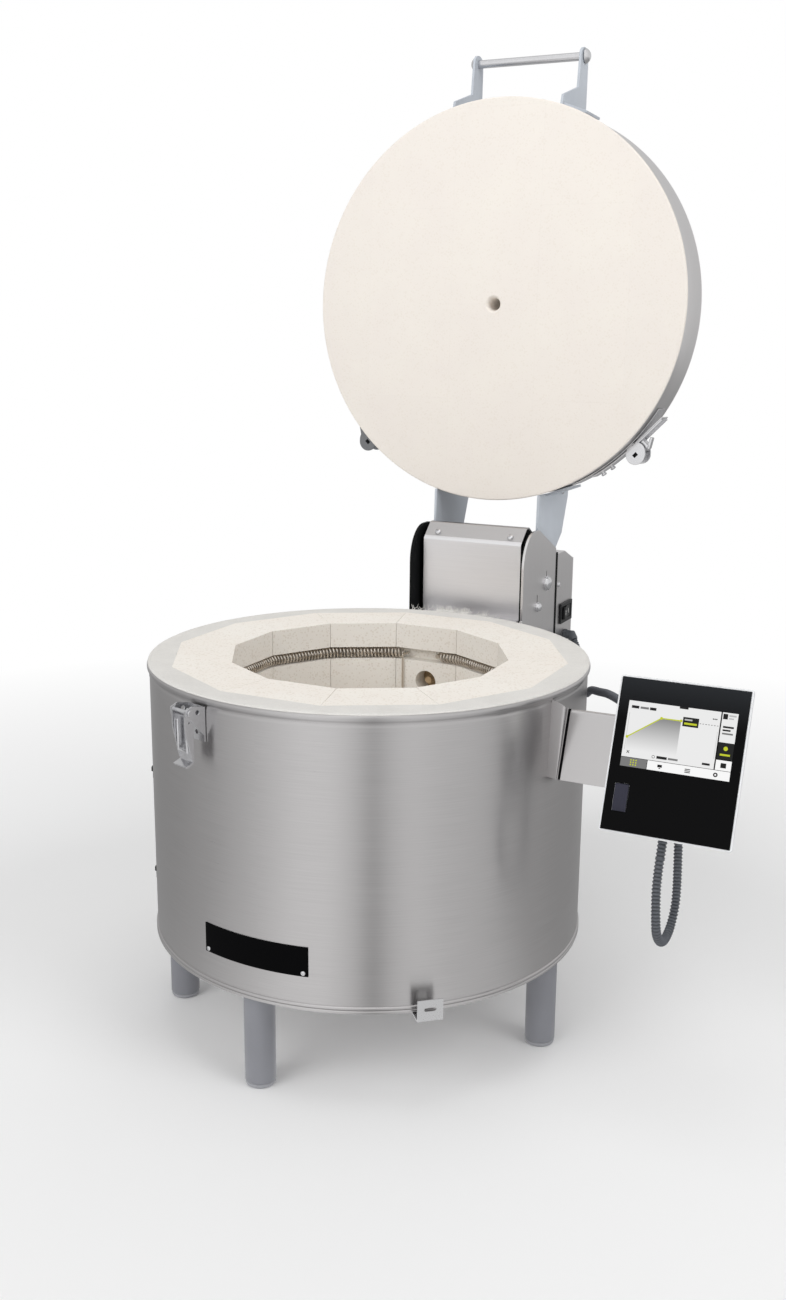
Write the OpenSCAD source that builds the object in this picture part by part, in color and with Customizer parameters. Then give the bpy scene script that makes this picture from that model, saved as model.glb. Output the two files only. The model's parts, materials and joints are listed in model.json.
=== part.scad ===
// Top-loading ceramic kiln with a round drum, a hinged brick lid and a touch-screen controller.
// Millimetres, +Z up, front towards -Y. Azimuths count from the front towards +X.

/* [Drum] */
// Outer radius of the steel jacket
drum_r = 235; // [230:1:250]
// Height of the steel jacket
drum_h = 303; // [295:1:330]
// Sheet thickness of the jacket
jacket_t = 1.2; // [0.8:0.1:2]
// Height of the jacket's lower edge above the ground
leg_h = 105; // [80:1:140]
// Radius of the rolled beads at the jacket's edges
bead_r = 2.2; // [1.5:0.1:3]
// Azimuth of the jacket's seam with its clips
seam_az = -62.5; // [-70:0.5:-40]

/* [Lining] */
// Thickness of the fibre backing behind the middle of a wall brick
backup_t = 26.5; // [18:0.5:35]
// Chamber depth from the rim to the floor
chamber_d = 230; // [215:1:235]
// Thickness of the wall bricks
brick_t = 61; // [55:1:64]
// Thickness of the floor brick
floor_brick_t = 50; // [40:1:55]
// Open joint between neighbouring bricks
brick_joint = 0.4; // [0.2:0.1:1]
// Height of the element grooves
groove_h = 14; // [13:0.5:18]
// Depth of the element grooves
groove_deep = 15; // [14:0.5:20]
// Distance of the upper groove's middle below the rim
groove_drop = 36; // [28:1:44]
// Distance between the grooves
groove_pitch = 62; // [50:1:70]
// Diameter of the sensor port in the back brick
port_d = 26; // [20:1:30]
// Distance of the sensor port below the rim
port_drop = 67; // [60:1:72]

/* [Heating elements] */
// Outer diameter of a coil
coil_d = 11; // [9:0.5:12]
// Diameter of the element wire
wire_d = 2.4; // [1.6:0.1:3]
// Curls of the upper coil
coil_curls = 56; // [30:1:60]
// Diameter of the terminal rods
rod_d = 5; // [4:0.5:6]

/* [Lid] */
// Overhang of the lid beyond the jacket
lid_over = 5; // [2:0.5:8]
// Thickness of the lid
lid_t = 74; // [60:1:90]
// Sheet thickness of the lid band and the lid cover
band_t = 1.2; // [0.8:0.1:2]
// Diameter of the hole in the middle of the lid
lid_hole_d = 15; // [10:0.5:20]
// Angle at which the lid rests open
lid_open = 92; // [91:0.5:95]

/* [Hinge and handle] */
// Distance of the hinge axis behind the jacket
hinge_back = 109; // [105:1:115]
// Height of the hinge axis above the rim
hinge_rise = 26; // [24:1:30]
// Distance of each lid arm from the middle
arm_x = 70; // [60:1:80]
// Plate thickness of the lid arms
arm_t = 3; // [2:0.5:4]
// Height of the arm's bar on the lid
bar_h = 35; // [28:1:40]
// Diameter of the pivot bolts
pivot_d = 12; // [10:0.5:14]
// Diameter of the stop bolts
stop_d = 10; // [8:0.5:12]
// Plate thickness of the hinge side plates
plate_t = 3; // [2:0.5:4]
// Depth of the hinge side plates above the rim
plate_w = 126; // [122:1:130]
// Corner radius at the top of the hinge side plates
plate_r = 44; // [36:1:50]
// Diameter of the handle rod
handle_d = 10; // [8:0.5:14]
// Distance of the handle rod in front of the lid
handle_out = 59; // [45:1:75]

/* [Legs and air slide] */
// Diameter of the leg tubes
leg_d = 32; // [25:1:40]
// Wall of the leg tubes
leg_wall = 2; // [1.5:0.5:3]
// Distance of the leg circle inside the jacket
leg_inset = 24; // [20:1:40]
// Azimuth of the air slide
slide_az = 41; // [30:1:50]
// Width of the air slide
slide_w = 50; // [40:1:60]
// Travel of the air slide
slide_travel = 45; // [35:1:50]
// Diameter of the air hole in the floor
air_hole_d = 20; // [15:1:26]

/* [Latch] */
// Azimuth of the latch
latch_az = -17.5; // [-20:0.5:-15]
// Width of the latch base
latch_w = 24; // [22:1:30]
// Length of the latch lever below its pin
lever_len = 52; // [45:1:60]

/* [Switchgear box] */
// Depth of the switchgear box
box_d = 62; // [55:1:75]
// Height of the switchgear box
box_h = 316; // [300:1:318]
// Sheet thickness of the box and of the hinge cover
sheet_t = 1.5; // [1:0.1:2]

/* [Controller] */
// Width of the controller
ctl_w = 126; // [110:1:140]
// Height of the controller
ctl_h = 150; // [135:1:165]
// Depth of the controller
ctl_d = 28; // [22:1:36]
// Lean of the controller's face
ctl_lean = 21; // [20:0.5:22]
// Outer diameter of the control hose
hose_d = 8; // [7:0.5:9]
// Bore of the control hose
hose_bore = 5; // [4:0.5:5.5]
// Ribs of the control hose
hose_ribs = 80; // [40:1:100]

/* [Hidden] */
$fn = 64;

// Clearance between pieces that rest on each other or pass close by
seat = 0.3;
// Radial clearance of a running fit
run = 0.05;

// Heights
rim_z = leg_h + drum_h;
floor_z = rim_z - chamber_d;
pan_t = 1.5;
pan_z = leg_h + 2;
board_z = pan_z + pan_t;
floor_brick_z = floor_z - floor_brick_t;
jacket_in = drum_r - jacket_t;

// Lining
facets = 12;
facet_deg = 360 / facets;
brick_out = jacket_in - seat - backup_t;
chamber_a = brick_out - brick_t;
port_z = rim_z - port_drop;
rows = [for (i = [0:2]) rim_z - groove_drop - i * groove_pitch];

// Coils lie on the groove's floor, behind the face of the bricks
coil_a = chamber_a + groove_deep / 2;
coil_rise = coil_d / 2 + seat - groove_h / 2;
coil_end_right = 18;
coil_end_left = -34;
rod_right = coil_end_right - rod_d / 2 - wire_d;
rod_left = coil_end_left + rod_d / 2 + wire_d;
rod_front = chamber_a + 4;
rod_back = drum_r + 31;
bush_r = rod_d / 2 + 3.5;

// Lid, described closed and turned about the hinge axis
lid_r = drum_r + lid_over;
lid_z = rim_z + 0.4;
lid_top = lid_z + lid_t;
pivot_y = drum_r + hinge_back;
pivot_z = rim_z + hinge_rise;

// Lid arms
bar_z = lid_top + seat;
bar_top = bar_z + bar_h;
rim_at_arm = sqrt(pow(lid_r + 0.8, 2) - pow(arm_x - arm_t / 2, 2));
handle_y = -lid_r - handle_out;
handle_z = bar_z + bar_h / 2;
hub_r = 28;

// Hinge side plates and the stop bolts that catch the arms' heels
gap_x = 2.5;
plate_x = arm_x + arm_t / 2 + gap_x;
cover_x = arm_x - arm_t / 2 - gap_x;
stop_dy = -32;
stop_dz = -25.4;
stop_reach = norm([stop_dy, stop_dz]);
stop_deg = atan2(stop_dz, stop_dy);
plate_back = pivot_y + 34.5;
plate_front = plate_back - plate_w;
plate_top = pivot_z + 72;
plate_seat = sqrt(drum_r * drum_r - plate_x * plate_x) + seat;
cover_y = plate_front + 25.5;

// Switchgear box behind the hinge plates
box_y = plate_back + 5.5;
box_x = plate_x + plate_t;
box_back = box_y + box_d;
box_z = pivot_z + 32 - box_h;
plate_low = box_z;
switch_y = box_y + 36;
switch_z = rim_z - 25;
switch_w = 44;
switch_h = 27;
rocker_tilt = 8;
gland_y = box_y + 36.4;
gland_z = rim_z - 56;

// Air slide
slide_t = 1.5;
slide_z = leg_h - 0.5 - slide_t;
slide_in = 30;
slide_out = drum_r + 16;
air_hole_r = 100;
leg_azimuths = [-65, -4, 89, 150, -137.5];
leg_ring = drum_r - leg_inset;
foot_h = 5;

// Latch, with its pin's place outside the jacket
pin_out = 19;
pin_z = rim_z - 14;
pin_d = 4;
bail_d = 2.4;
bail_drop = 10;

// Controller, by the middle of its face
ctl_pos = [drum_r + 122.5, -73, rim_z - 47];
arm_back = ctl_d + seat;
bracket_x = drum_r + 4;

// Route of the control hose, from the switchgear box to the controller
hose_route = [
    [93.4, 414.8, 345.7], [97.4, 411.1, 341.4], [102.8, 403.5, 334.6], [107.5, 391, 328], [113.5, 375, 322.3],
    [122.5, 354, 317.6], [134.5, 325, 315], [151, 284, 316], [170, 238, 325.5], [187, 195, 341], [203, 156, 354],
    [224, 114, 365], [248, 73, 375], [275, 36, 378], [304, 7, 372], [330, -11, 353], [346, -20, 323], [353, -25, 286],
    [355, -27, 250], [356, -28, 213], [356, -32.8, 195], [356, -46, 181.8], [356, -64, 177], [356, -82, 181.8],
    [355.5, -95.2, 195], [355, -100, 213], [354, -100, 240], [354, -96.7, 260.2], [354, -92.4, 271.4]
];

// Place of the drum's axis, so that the origin is in the middle of the whole kiln's footprint
lever_front = (drum_r + pin_out + 9) * cos(latch_az);
axis_x = -(ctl_pos.x + ctl_w / 2 - lid_r - 0.8) / 2;
axis_y = -(box_back + sheet_t + 3.3 - lever_front) / 2;

// Shared helpers

module place() {
    translate([axis_x, axis_y, 0]) children();
}

module place_lid() {
    place()
        translate([0, pivot_y, pivot_z])
            rotate([-lid_open, 0, 0])
                translate([0, -pivot_y, -pivot_z])
                    children();
}

module place_controller() {
    translate(ctl_pos) rotate([-ctl_lean, 0, 0]) children();
}

module place_latch() {
    rotate([0, 0, latch_az]) translate([0, -drum_r, 0]) children();
}

// Part of a ring between two azimuths
module ring_part(r_in, r_out, z_low, z_high, az_from, az_to) {
    rotate([0, 0, az_from - 90])
        rotate_extrude(angle = az_to - az_from)
            translate([r_in, z_low])
                square([r_out - r_in, z_high - z_low]);
}

// Plate in the YZ plane, from x0 to x0 + t
module side_plate(x0, t) {
    translate([x0, 0, 0])
        rotate([90, 0, 90])
            linear_extrude(t)
                children();
}

module bar_x(x0, x1, y, z, d) {
    translate([x0, y, z]) rotate([0, 90, 0]) cylinder(d = d, h = x1 - x0);
}

module bar_y(y0, y1, x, z, d) {
    translate([x, y0, z]) rotate([-90, 0, 0]) cylinder(d = d, h = y1 - y0);
}

// Low dome, its flat side on the XY plane
module dome(d, h) {
    ball = (d * d / 4 + h * h) / (2 * h);
    intersection() {
        translate([0, 0, h - ball]) sphere(ball);
        cylinder(d = d, h = h);
    }
}

// Prism with twelve flats, two of them square to the Y axis
module dodecagon(apothem, h) {
    rotate([0, 0, facet_deg / 2]) cylinder(r = apothem / cos(facet_deg / 2), h = h, $fn = facets);
}

// Swept tubes: rings carried along a list of points

function unit(v) = v / norm(v);
function tangent(p, i) = unit(p[min(i + 1, len(p) - 1)] - p[max(i - 1, 0)]);
function square_to(n, t) = unit(n - (n * t) * t);
function first_normal(t) = square_to(abs(t.z) < 0.9 ? [0, 0, 1] : [1, 0, 0], t);
function normals(p) = [
    for (i = 0, n = first_normal(tangent(p, 0)); i < len(p); i = i + 1, n = square_to(n, tangent(p, i)))
        square_to(n, tangent(p, i))
];
function ring_at(c, t, n, r, sides) = [
    for (k = [0:sides - 1]) c + r * (cos(360 * k / sides) * n + sin(360 * k / sides) * cross(t, n))
];
function rings(p, radii, sides) = let (n = normals(p)) [
    for (i = [0:len(p) - 1]) each ring_at(p[i], tangent(p, i), n[i], radii[i], sides)
];
function skin(count, sides, base, inward) = [
    for (i = [0:count - 2], k = [0:sides - 1])
        let (a = base + i * sides + k, b = base + i * sides + (k + 1) % sides)
        each inward
            ? [[a, a + sides, b + sides], [a, b + sides, b]]
            : [[a, b + sides, a + sides], [a, b, b + sides]]
];
function cap(sides, base, last) = [
    for (k = [1:sides - 2]) last ? [base, base + k, base + k + 1] : [base, base + k + 1, base + k]
];

module tube(p, d, sides) {
    last = (len(p) - 1) * sides;
    polyhedron(
        rings(p, [for (q = p) d / 2], sides),
        concat(skin(len(p), sides, 0, false), cap(sides, 0, false), cap(sides, last, true)),
        convexity = 10
    );
}

// Points of a smooth curve through a route, evenly spaced
function spline(p, t) = let (
    i = min(floor(t), len(p) - 2),
    f = t - i,
    a = p[max(i - 1, 0)],
    b = p[i],
    c = p[i + 1],
    d = p[min(i + 2, len(p) - 1)]
) 0.5 * (2 * b + (c - a) * f + (2 * a - 5 * b + 4 * c - d) * f * f + (3 * b - a - 3 * c + d) * f * f * f);
function spline_step(p, i, step) = norm(spline(p, min((i + 1) * step, len(p) - 1)) - spline(p, i * step));
function arc_table(p, steps) = let (step = (len(p) - 1) / steps) [
    for (i = 0, s = 0; i <= steps; s = s + spline_step(p, i, step), i = i + 1) [s, i * step]
];
function even_points(p, count) = let (table = arc_table(p, 400), total = table[400][0]) [
    for (i = [0:count - 1]) spline(p, lookup(total * i / (count - 1), table))
];

// Centre line of a coil that follows the twelve grooves from the right end to the left end
function facet_r(apothem, az) = apothem / cos((az + facet_deg * 6.5) % facet_deg - facet_deg / 2);
function outward(az) = [sin(az), -cos(az), 0];
coil_from = 180 - atan(coil_end_right / coil_a);
coil_to = -180 + atan(-coil_end_left / coil_a);
function coil_az(f) = coil_from + (coil_to - coil_from) * f;
coil_offset = (coil_d - wire_d) / 2;
function coil_point(f, z) = let (az = coil_az(f), turn = 360 * coil_curls * f)
    (facet_r(coil_a, az) + coil_offset * cos(turn)) * outward(az) + [0, 0, z + coil_offset * sin(turn)];
function coil_points(z) = let (n = coil_curls * 8, a = coil_point(0, z), b = coil_point(1, z)) concat(
    [a - [wire_d, 0, 0]],
    [for (i = [0:n]) coil_point(i / n, z)],
    [b + [wire_d, 0, 0]]
);
// Least gap between stretches of one tube that lie more than half a curl apart
function self_gap(p, d, skip) = min([
    for (i = [0:len(p) - 1 - skip], j = [i + skip:min(len(p) - 1, i + 4 * skip)]) norm(p[i] - p[j])
]) - d;

// Drum

module drum_jacket() color("silver") difference() {
    rotate_extrude() {
        translate([jacket_in, leg_h]) square([jacket_t, drum_h]);
        for (z = [leg_h + bead_r, leg_h + 2.7 * bead_r, rim_z - bead_r])
            translate([jacket_in + bead_r + 0.3, z]) circle(bead_r);
    }
    bar_y(0, drum_r + 10, 0, port_z, port_d);
    bar_y(0, drum_r + 10, rod_right, rows[0], 2 * bush_r + 2 * seat);
    bar_y(0, drum_r + 10, rod_left, rows[2], 2 * bush_r + 2 * seat);
}

module seam_strip() color("silver") rotate([0, 0, seam_az])
    ring_part(drum_r + 0.2, drum_r + 1.2, leg_h + 5 * bead_r, rim_z - 3 * bead_r, -2.4, 2.4);

module seam_clips() color("dimgray")
    for (z = [rim_z - 20, rim_z - drum_h / 2 + 16, leg_h + 50])
        rotate([0, 0, seam_az]) translate([0, -drum_r - 1.2 - seat, z]) {
            translate([-3, -1.4, -7]) cube([6, 1.4, 14]);
            translate([-3, -2.8, 1]) cube([6, 1.6, 5]);
        }

module floor_pan() color("gainsboro") difference() {
    translate([0, 0, pan_z]) cylinder(r = jacket_in - seat, h = pan_t);
    rotate([0, 0, slide_az]) translate([0, -air_hole_r, 0]) cylinder(d = air_hole_d, h = leg_h + 20);
}

module floor_board() color("whitesmoke") difference() {
    translate([0, 0, board_z]) cylinder(r = jacket_in - seat, h = floor_brick_z - board_z);
    rotate([0, 0, slide_az]) translate([0, -air_hole_r, 0]) cylinder(d = air_hole_d, h = floor_z);
}

module floor_brick() color("cornsilk") difference() {
    translate([0, 0, floor_brick_z]) dodecagon(brick_out, floor_brick_t);
    rotate([0, 0, slide_az]) translate([0, -air_hole_r, 0]) cylinder(d = air_hole_d, h = floor_z + 10);
}

// Wedge between two radii, for one of the twelve facets
function wedge_half(y) = y * tan(facet_deg / 2) - brick_joint / 2 / cos(facet_deg / 2);
function wedge(y_in, y_out) = [
    [-wedge_half(y_in), -y_in], [wedge_half(y_in), -y_in],
    [wedge_half(y_out), -y_out], [-wedge_half(y_out), -y_out]
];

module wall_brick() difference() {
    translate([0, 0, floor_z]) linear_extrude(chamber_d) polygon(wedge(chamber_a, brick_out));
    for (z = rows)
        translate([-brick_out, -chamber_a - groove_deep, z - groove_h / 2])
            cube([2 * brick_out, 2 * groove_deep, groove_h]);
}

module wall_bricks() color("cornsilk") {
    for (i = [0:facets - 1])
        if (i != facets / 2) rotate([0, 0, i * facet_deg]) wall_brick();
    difference() {
        rotate([0, 0, 180]) wall_brick();
        bar_y(0, drum_r, 0, port_z, port_d);
        bar_y(0, drum_r, rod_right, rows[0], 2 * bush_r + 2 * seat);
        bar_y(0, drum_r, rod_left, rows[2], 2 * bush_r + 2 * seat);
    }
}

module backup_board() intersection() {
    translate([0, 0, floor_brick_z]) cylinder(r = jacket_in - seat, h = rim_z - floor_brick_z);
    linear_extrude(rim_z) polygon(wedge(brick_out + 0.2, drum_r + 10));
}

module backup_insulation() color("whitesmoke") {
    for (i = [0:facets - 1])
        if (i != facets / 2) rotate([0, 0, i * facet_deg]) backup_board();
    difference() {
        rotate([0, 0, 180]) backup_board();
        bar_y(0, drum_r, 0, port_z, port_d);
        bar_y(0, drum_r, rod_right, rows[0], 2 * bush_r + 2 * seat);
        bar_y(0, drum_r, rod_left, rows[2], 2 * bush_r + 2 * seat);
    }
}

// Heating elements: the upper coil is wound, the two below it are closed tubes of the coil's size

module element_upper() {
    p = coil_points(rows[0] + coil_rise);
    echo("element_upper: least gap to itself, mm", self_gap(p, wire_d, 5));
    color("dimgray") tube(p, wire_d, 6);
}

module plain_coil(z) color("dimgray")
    tube([
        for (i = [0:68]) let (az = coil_az(i / 68)) facet_r(coil_a, az) * outward(az) + [0, 0, z]
    ], coil_d, 8);

module element_middle() plain_coil(rows[1] + coil_rise);

module element_lower() plain_coil(rows[2] + coil_rise);

// Wire that drops from one groove to the next, in front of the brick
module jumper(x, z_from, z_to) {
    front = chamber_a - wire_d;
    for (z = [z_from, z_to]) {
        bar_y(front, chamber_a + groove_deep - seat, x, z, wire_d);
        translate([x, front, z]) sphere(d = wire_d);
    }
    translate([x, front, z_to]) cylinder(d = wire_d, h = z_from - z_to);
}

module element_jumpers() color("dimgray") {
    jumper(rod_left, rows[0] + coil_rise, rows[1] + coil_rise);
    jumper(rod_right, rows[1] + coil_rise, rows[2] + coil_rise);
}

module element_terminals() color("gray") {
    bar_y(rod_front, rod_back, rod_right, rows[0], rod_d);
    bar_y(rod_front, rod_back, rod_left, rows[2], rod_d);
}

module bushing(x, z) difference() {
    bar_y(chamber_a + groove_deep, drum_r + 14, x, z, 2 * bush_r);
    bar_y(0, drum_r + 20, x, z, rod_d + 2 * seat);
}

module terminal_bushings() color("ivory") {
    bushing(rod_right, rows[0]);
    bushing(rod_left, rows[2]);
}

// Sensor in its ceramic plug, with the connection head outside the jacket
module thermocouple() color("ivory") {
    bar_y(chamber_a + 8, chamber_a + 40, 0, port_z, 8);
    bar_y(chamber_a + 24, drum_r + 3, 0, port_z, port_d - 2 * seat);
    bar_y(drum_r + 3, drum_r + 22, 0, port_z, port_d + 6);
    translate([-9, drum_r + 8, port_z - port_d / 2 - 10]) cube([18, 10, 12]);
}

module legs() color("darkgray")
    for (az = leg_azimuths)
        rotate([0, 0, az]) translate([0, -leg_ring, 0]) difference() {
            union() {
                translate([0, 0, foot_h]) cylinder(d = leg_d, h = pan_z - foot_h);
                translate([0, 0, pan_z - 3]) cylinder(d = leg_d + 8, h = 3);
            }
            translate([0, 0, foot_h - 1]) cylinder(d = leg_d - 2 * leg_wall, h = pan_z - foot_h - 3);
        }

module leg_feet() color("dimgray")
    for (az = leg_azimuths)
        rotate([0, 0, az]) translate([0, -leg_ring, 0]) {
            cylinder(d1 = leg_d - 2, d2 = leg_d, h = 1);
            translate([0, 0, 1]) cylinder(d = leg_d, h = foot_h - 1);
            translate([0, 0, foot_h - 0.1]) cylinder(d = leg_d - 2 * leg_wall - 2 * seat, h = 14);
        }

// Two folded rails under the floor pan
module slide_guides() color("silver") rotate([0, 0, slide_az])
    for (side = [-1, 1]) {
        web_x = side * (slide_w / 2 + 0.4 + 1);
        low = slide_z - seat - 1.5;
        translate([web_x - 1, -drum_r + 12, low]) cube([2, drum_r - 60, pan_z - low]);
        translate([web_x - side * 3.5 - 3.5, -drum_r + 12, low]) cube([7, drum_r - 60, 1.5]);
    }

// Plate that covers the air hole, with its pull tab bent up outside the jacket
module air_slide() {
    tab_w = 26;
    tab_h = 22;
    color("lightgray") rotate([0, 0, slide_az]) difference() {
        union() {
            translate([-slide_w / 2, -drum_r + 10, slide_z]) cube([slide_w, drum_r - 10 - slide_in, slide_t]);
            translate([-tab_w / 2, -slide_out, slide_z]) cube([tab_w, slide_out - drum_r + 12, slide_t]);
            translate([-tab_w / 2, -slide_out, slide_z]) cube([tab_w, slide_t, tab_h]);
        }
        translate([0, -air_hole_r + slide_travel, slide_z - 1]) cylinder(d = air_hole_d, h = slide_t + 2);
        translate([-4, -slide_out - 1, slide_z + 10]) cube([8, slide_t + 2, 4]);
        for (x = [-4, 4]) bar_y(-slide_out - 1, -slide_out + slide_t + 1, x, slide_z + 12, 4);
    }
}

module name_plate() color("black")
    ring_part(drum_r + 0.1, drum_r + 0.9, leg_h + 36, leg_h + 67, -16.5, 13);

// Toggle latch, described at the front with its outside towards -Y

module latch_base() {
    ear_t = 1.5;
    color("silver") place_latch() difference() {
        union() {
            translate([-latch_w / 2, -1.8, rim_z - 46]) cube([latch_w, 1.5, 35]);
            for (x = [-latch_w / 2, latch_w / 2 - ear_t])
                side_plate(x, ear_t) polygon([
                    [-1, rim_z - 11], [-pin_out + 3, pin_z + 6], [-pin_out - 4.5, pin_z + 3],
                    [-pin_out - 4.5, pin_z - 4], [-pin_out + 2, pin_z - 8], [-1, rim_z - 40]
                ]);
        }
        bar_x(-latch_w, latch_w, -pin_out, pin_z, pin_d + 2 * run);
        bar_y(-4, 1, 0, rim_z - 38, 4.5);
        bar_x(-latch_w, latch_w, -pin_out / 2, pin_z - 1, 5);
    }
}

module latch_pin() color("gray") place_latch() {
    bar_x(-latch_w / 2 - 2, latch_w / 2 + 2, -pin_out, pin_z, pin_d);
    for (x = [-latch_w / 2 - 2.3, latch_w / 2 + 0.3]) bar_x(x, x + 2, -pin_out, pin_z, pin_d + 2.5);
}

// Channel that hangs from the pin, open to the outside, with a lip to pull
module latch_lever() {
    half = latch_w / 2 - 1.5 - seat;
    web_y = -pin_out + 4;
    tip_z = pin_z - lever_len;
    color("lightgray") place_latch() difference() {
        union() {
            translate([-half, web_y, tip_z]) cube([2 * half, 1.5, lever_len - 6]);
            for (x = [-half, half - 1.5])
                side_plate(x, 1.5) polygon([
                    [web_y + 1.5, pin_z - 8], [-pin_out + 4.5, pin_z + 3], [-pin_out, pin_z + 5],
                    [-pin_out - 4.5, pin_z + 2], [-pin_out - 4.5, pin_z - 16], [web_y - 1, tip_z + 4],
                    [web_y + 1.5, tip_z + 4]
                ]);
            side_plate(-half, 2 * half) polygon([
                [web_y + 1.5, tip_z + 1.5], [web_y + 1.5, tip_z], [web_y - 7, tip_z - 3],
                [web_y - 8.5, tip_z - 1], [web_y - 7, tip_z - 0.5], [web_y, tip_z + 2]
            ]);
        }
        bar_x(-latch_w, latch_w, -pin_out, pin_z, pin_d + 2 * run);
        bar_x(-latch_w, latch_w, -pin_out, pin_z - bail_drop, bail_d + 2 * run);
    }
}

// Wire loop that hooks over the lid arm's foot
module latch_bail() {
    half = latch_w / 2 - 1.5 - seat;
    leg_x = half - 1.5 - bail_d / 2 - 0.6;
    top = pin_z - bail_drop;
    low = pin_z - lever_len + 12;
    color("gray") place_latch() {
        for (s = [-1, 1]) {
            bar_x(s > 0 ? leg_x : -half, s > 0 ? half : -leg_x, -pin_out, top, bail_d);
            translate([s * leg_x, -pin_out, top]) sphere(d = bail_d);
            translate([s * leg_x, -pin_out, low]) cylinder(d = bail_d, h = top - low);
            translate([s * leg_x, -pin_out, low]) sphere(d = bail_d);
        }
        bar_x(-leg_x, leg_x, -pin_out, low, bail_d);
    }
}

// Hinge

// Thin slot that lets the bolt be set higher
module bolt_hole(y, z, d) {
    translate([y, z]) circle(d = d + 2 * run);
    translate([y - 1.2, z]) square([2.4, d / 2 + 10]);
}

module plate_outline() difference() {
    union() {
        hull() {
            for (y = [plate_front + plate_r, plate_back - plate_r])
                translate([y, plate_top - plate_r]) circle(plate_r);
            translate([plate_front, rim_z - 8]) square([plate_w, 8]);
        }
        polygon([
            [plate_seat, plate_low], [plate_seat, rim_z - 28], [plate_front, rim_z - 8],
            [plate_back, rim_z - 8], [plate_back, rim_z - 110], [box_y - seat, rim_z - 110],
            [box_y - seat, plate_low]
        ]);
    }
    bolt_hole(pivot_y, pivot_z, pivot_d);
    bolt_hole(pivot_y + stop_dy, pivot_z + stop_dz, stop_d);
}

// Side plate with a tab that lies against the jacket
module hinge_plate() {
    tab_half = 17;
    tab_az = 180 - asin((plate_x + plate_t + tab_half - 3) / drum_r);
    side_plate(plate_x, plate_t) plate_outline();
    intersection() {
        rotate([0, 0, tab_az])
            translate([-tab_half, -drum_r - seat - 2, plate_low + 10])
                cube([2 * tab_half, 2, rim_z - 60 - plate_low]);
        translate([plate_x + 1, 0, 0]) cube([drum_r, drum_r, rim_z]);
    }
}

module hinge_plate_right() color("silver") hinge_plate();

module hinge_plate_left() color("silver") mirror([1, 0, 0]) hinge_plate();

// Folded sheet outline: a line of points given a thickness towards the inside, mitred at the folds
function right_of(a, b) = [b.y - a.y, a.x - b.x] / norm(b - a);
function inset_line(p, t) = [
    for (i = [0:len(p) - 1])
        let(
            before = right_of(p[max(i - 1, 0)], p[max(i, 1)]),
            after = right_of(p[min(i, len(p) - 2)], p[min(i + 1, len(p) - 1)]),
            mid = (before + after) / 2
        )
        p[i] + mid * t / (mid * mid)
];
module folded(points, t) {
    inner = inset_line(points, t);
    polygon(concat(points, [for (i = [len(points) - 1:-1:0]) inner[i]]));
}

// Cover between the arms: shelf over the terminals, front wall, chamfer and a roof that falls to the back
cover_len = plate_back - 10.5 - cover_y;
cover_fold = 20;
cover_ridge = 8;
cover_low = plate_top - 15;
cover_top = plate_top + 3.5;
cover_end = plate_top - 36;
shelf_z = rim_z - hinge_rise / 2;
cover_points = [
    [drum_r + 1, shelf_z], [cover_y, shelf_z], [cover_y, cover_low], [cover_y + cover_fold, cover_top],
    [cover_y + cover_fold + cover_ridge, cover_top], [cover_y + cover_len, cover_end]
];

module hinge_cover() color("lightgray")
    side_plate(-cover_x, 2 * cover_x) folded(cover_points, sheet_t);

// Bent sheet that ties the side plates and carries the cover's chamfer
module hinge_crossbar() {
    web_z = shelf_z - 23;
    rise_y = cover_y + cover_fold + 4;
    t = 2;
    gap = sheet_t + seat;
    fold_deg = atan2(cover_top - cover_low, cover_fold);
    color("gray") {
        translate([-plate_x + seat, rise_y, web_z])
            cube([2 * plate_x - 2 * seat, plate_back - rise_y - 8, t]);
        side_plate(-cover_x + 8, 2 * cover_x - 16) {
            translate([rise_y, web_z]) square([t, cover_top - gap - web_z]);
            translate([rise_y - 4, cover_top - gap - t]) square([5, t]);
            translate([cover_y, cover_low]) rotate(fold_deg) translate([8, -gap - t])
                square([norm([cover_fold, cover_top - cover_low]) - 8, t]);
        }
    }
}

module pivot_bolts() color("silver")
    for (side = [0, 1]) mirror([side, 0, 0]) {
        bar_x(arm_x - arm_t / 2 - 1, box_x + 0.5, pivot_y, pivot_z, pivot_d);
        translate([box_x + seat, pivot_y, pivot_z]) rotate([0, 90, 0]) dome(pivot_d + 5, 5);
    }

module stop_bolts() color("silver")
    for (side = [0, 1]) mirror([side, 0, 0]) {
        bar_x(arm_x - arm_t / 2 - 0.5, box_x + 0.5, pivot_y + stop_dy, pivot_z + stop_dz, stop_d);
        translate([box_x + seat, pivot_y + stop_dy, pivot_z + stop_dz])
            rotate([0, 90, 0]) dome(stop_d + 3, 4);
    }

// Lid, described closed

module lid_brick() color("cornsilk") difference() {
    rotate_extrude() polygon([
        [0, lid_z], [lid_r - band_t - seat - 2.5, lid_z], [lid_r - band_t - seat, lid_z + 2.5],
        [lid_r - band_t - seat, lid_top - band_t], [0, lid_top - band_t]
    ]);
    translate([0, 0, lid_z - 1]) cylinder(d = lid_hole_d, h = lid_t + 2);
    translate([0, 0, lid_z - 0.01]) cylinder(d1 = lid_hole_d + 6, d2 = lid_hole_d, h = 5);
}

module lid_band() color("silver") rotate_extrude() {
    translate([lid_r - band_t, lid_z + 4]) square([band_t, lid_t - 4 - band_t - seat]);
    translate([lid_r - band_t, lid_z + 4]) square([band_t + 0.8, 2.5]);
}

module lid_cover() color("silver") difference() {
    translate([0, 0, lid_top - band_t]) cylinder(r = lid_r, h = band_t);
    translate([0, 0, lid_top - 5]) cylinder(d = lid_hole_d, h = 10);
}

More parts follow.
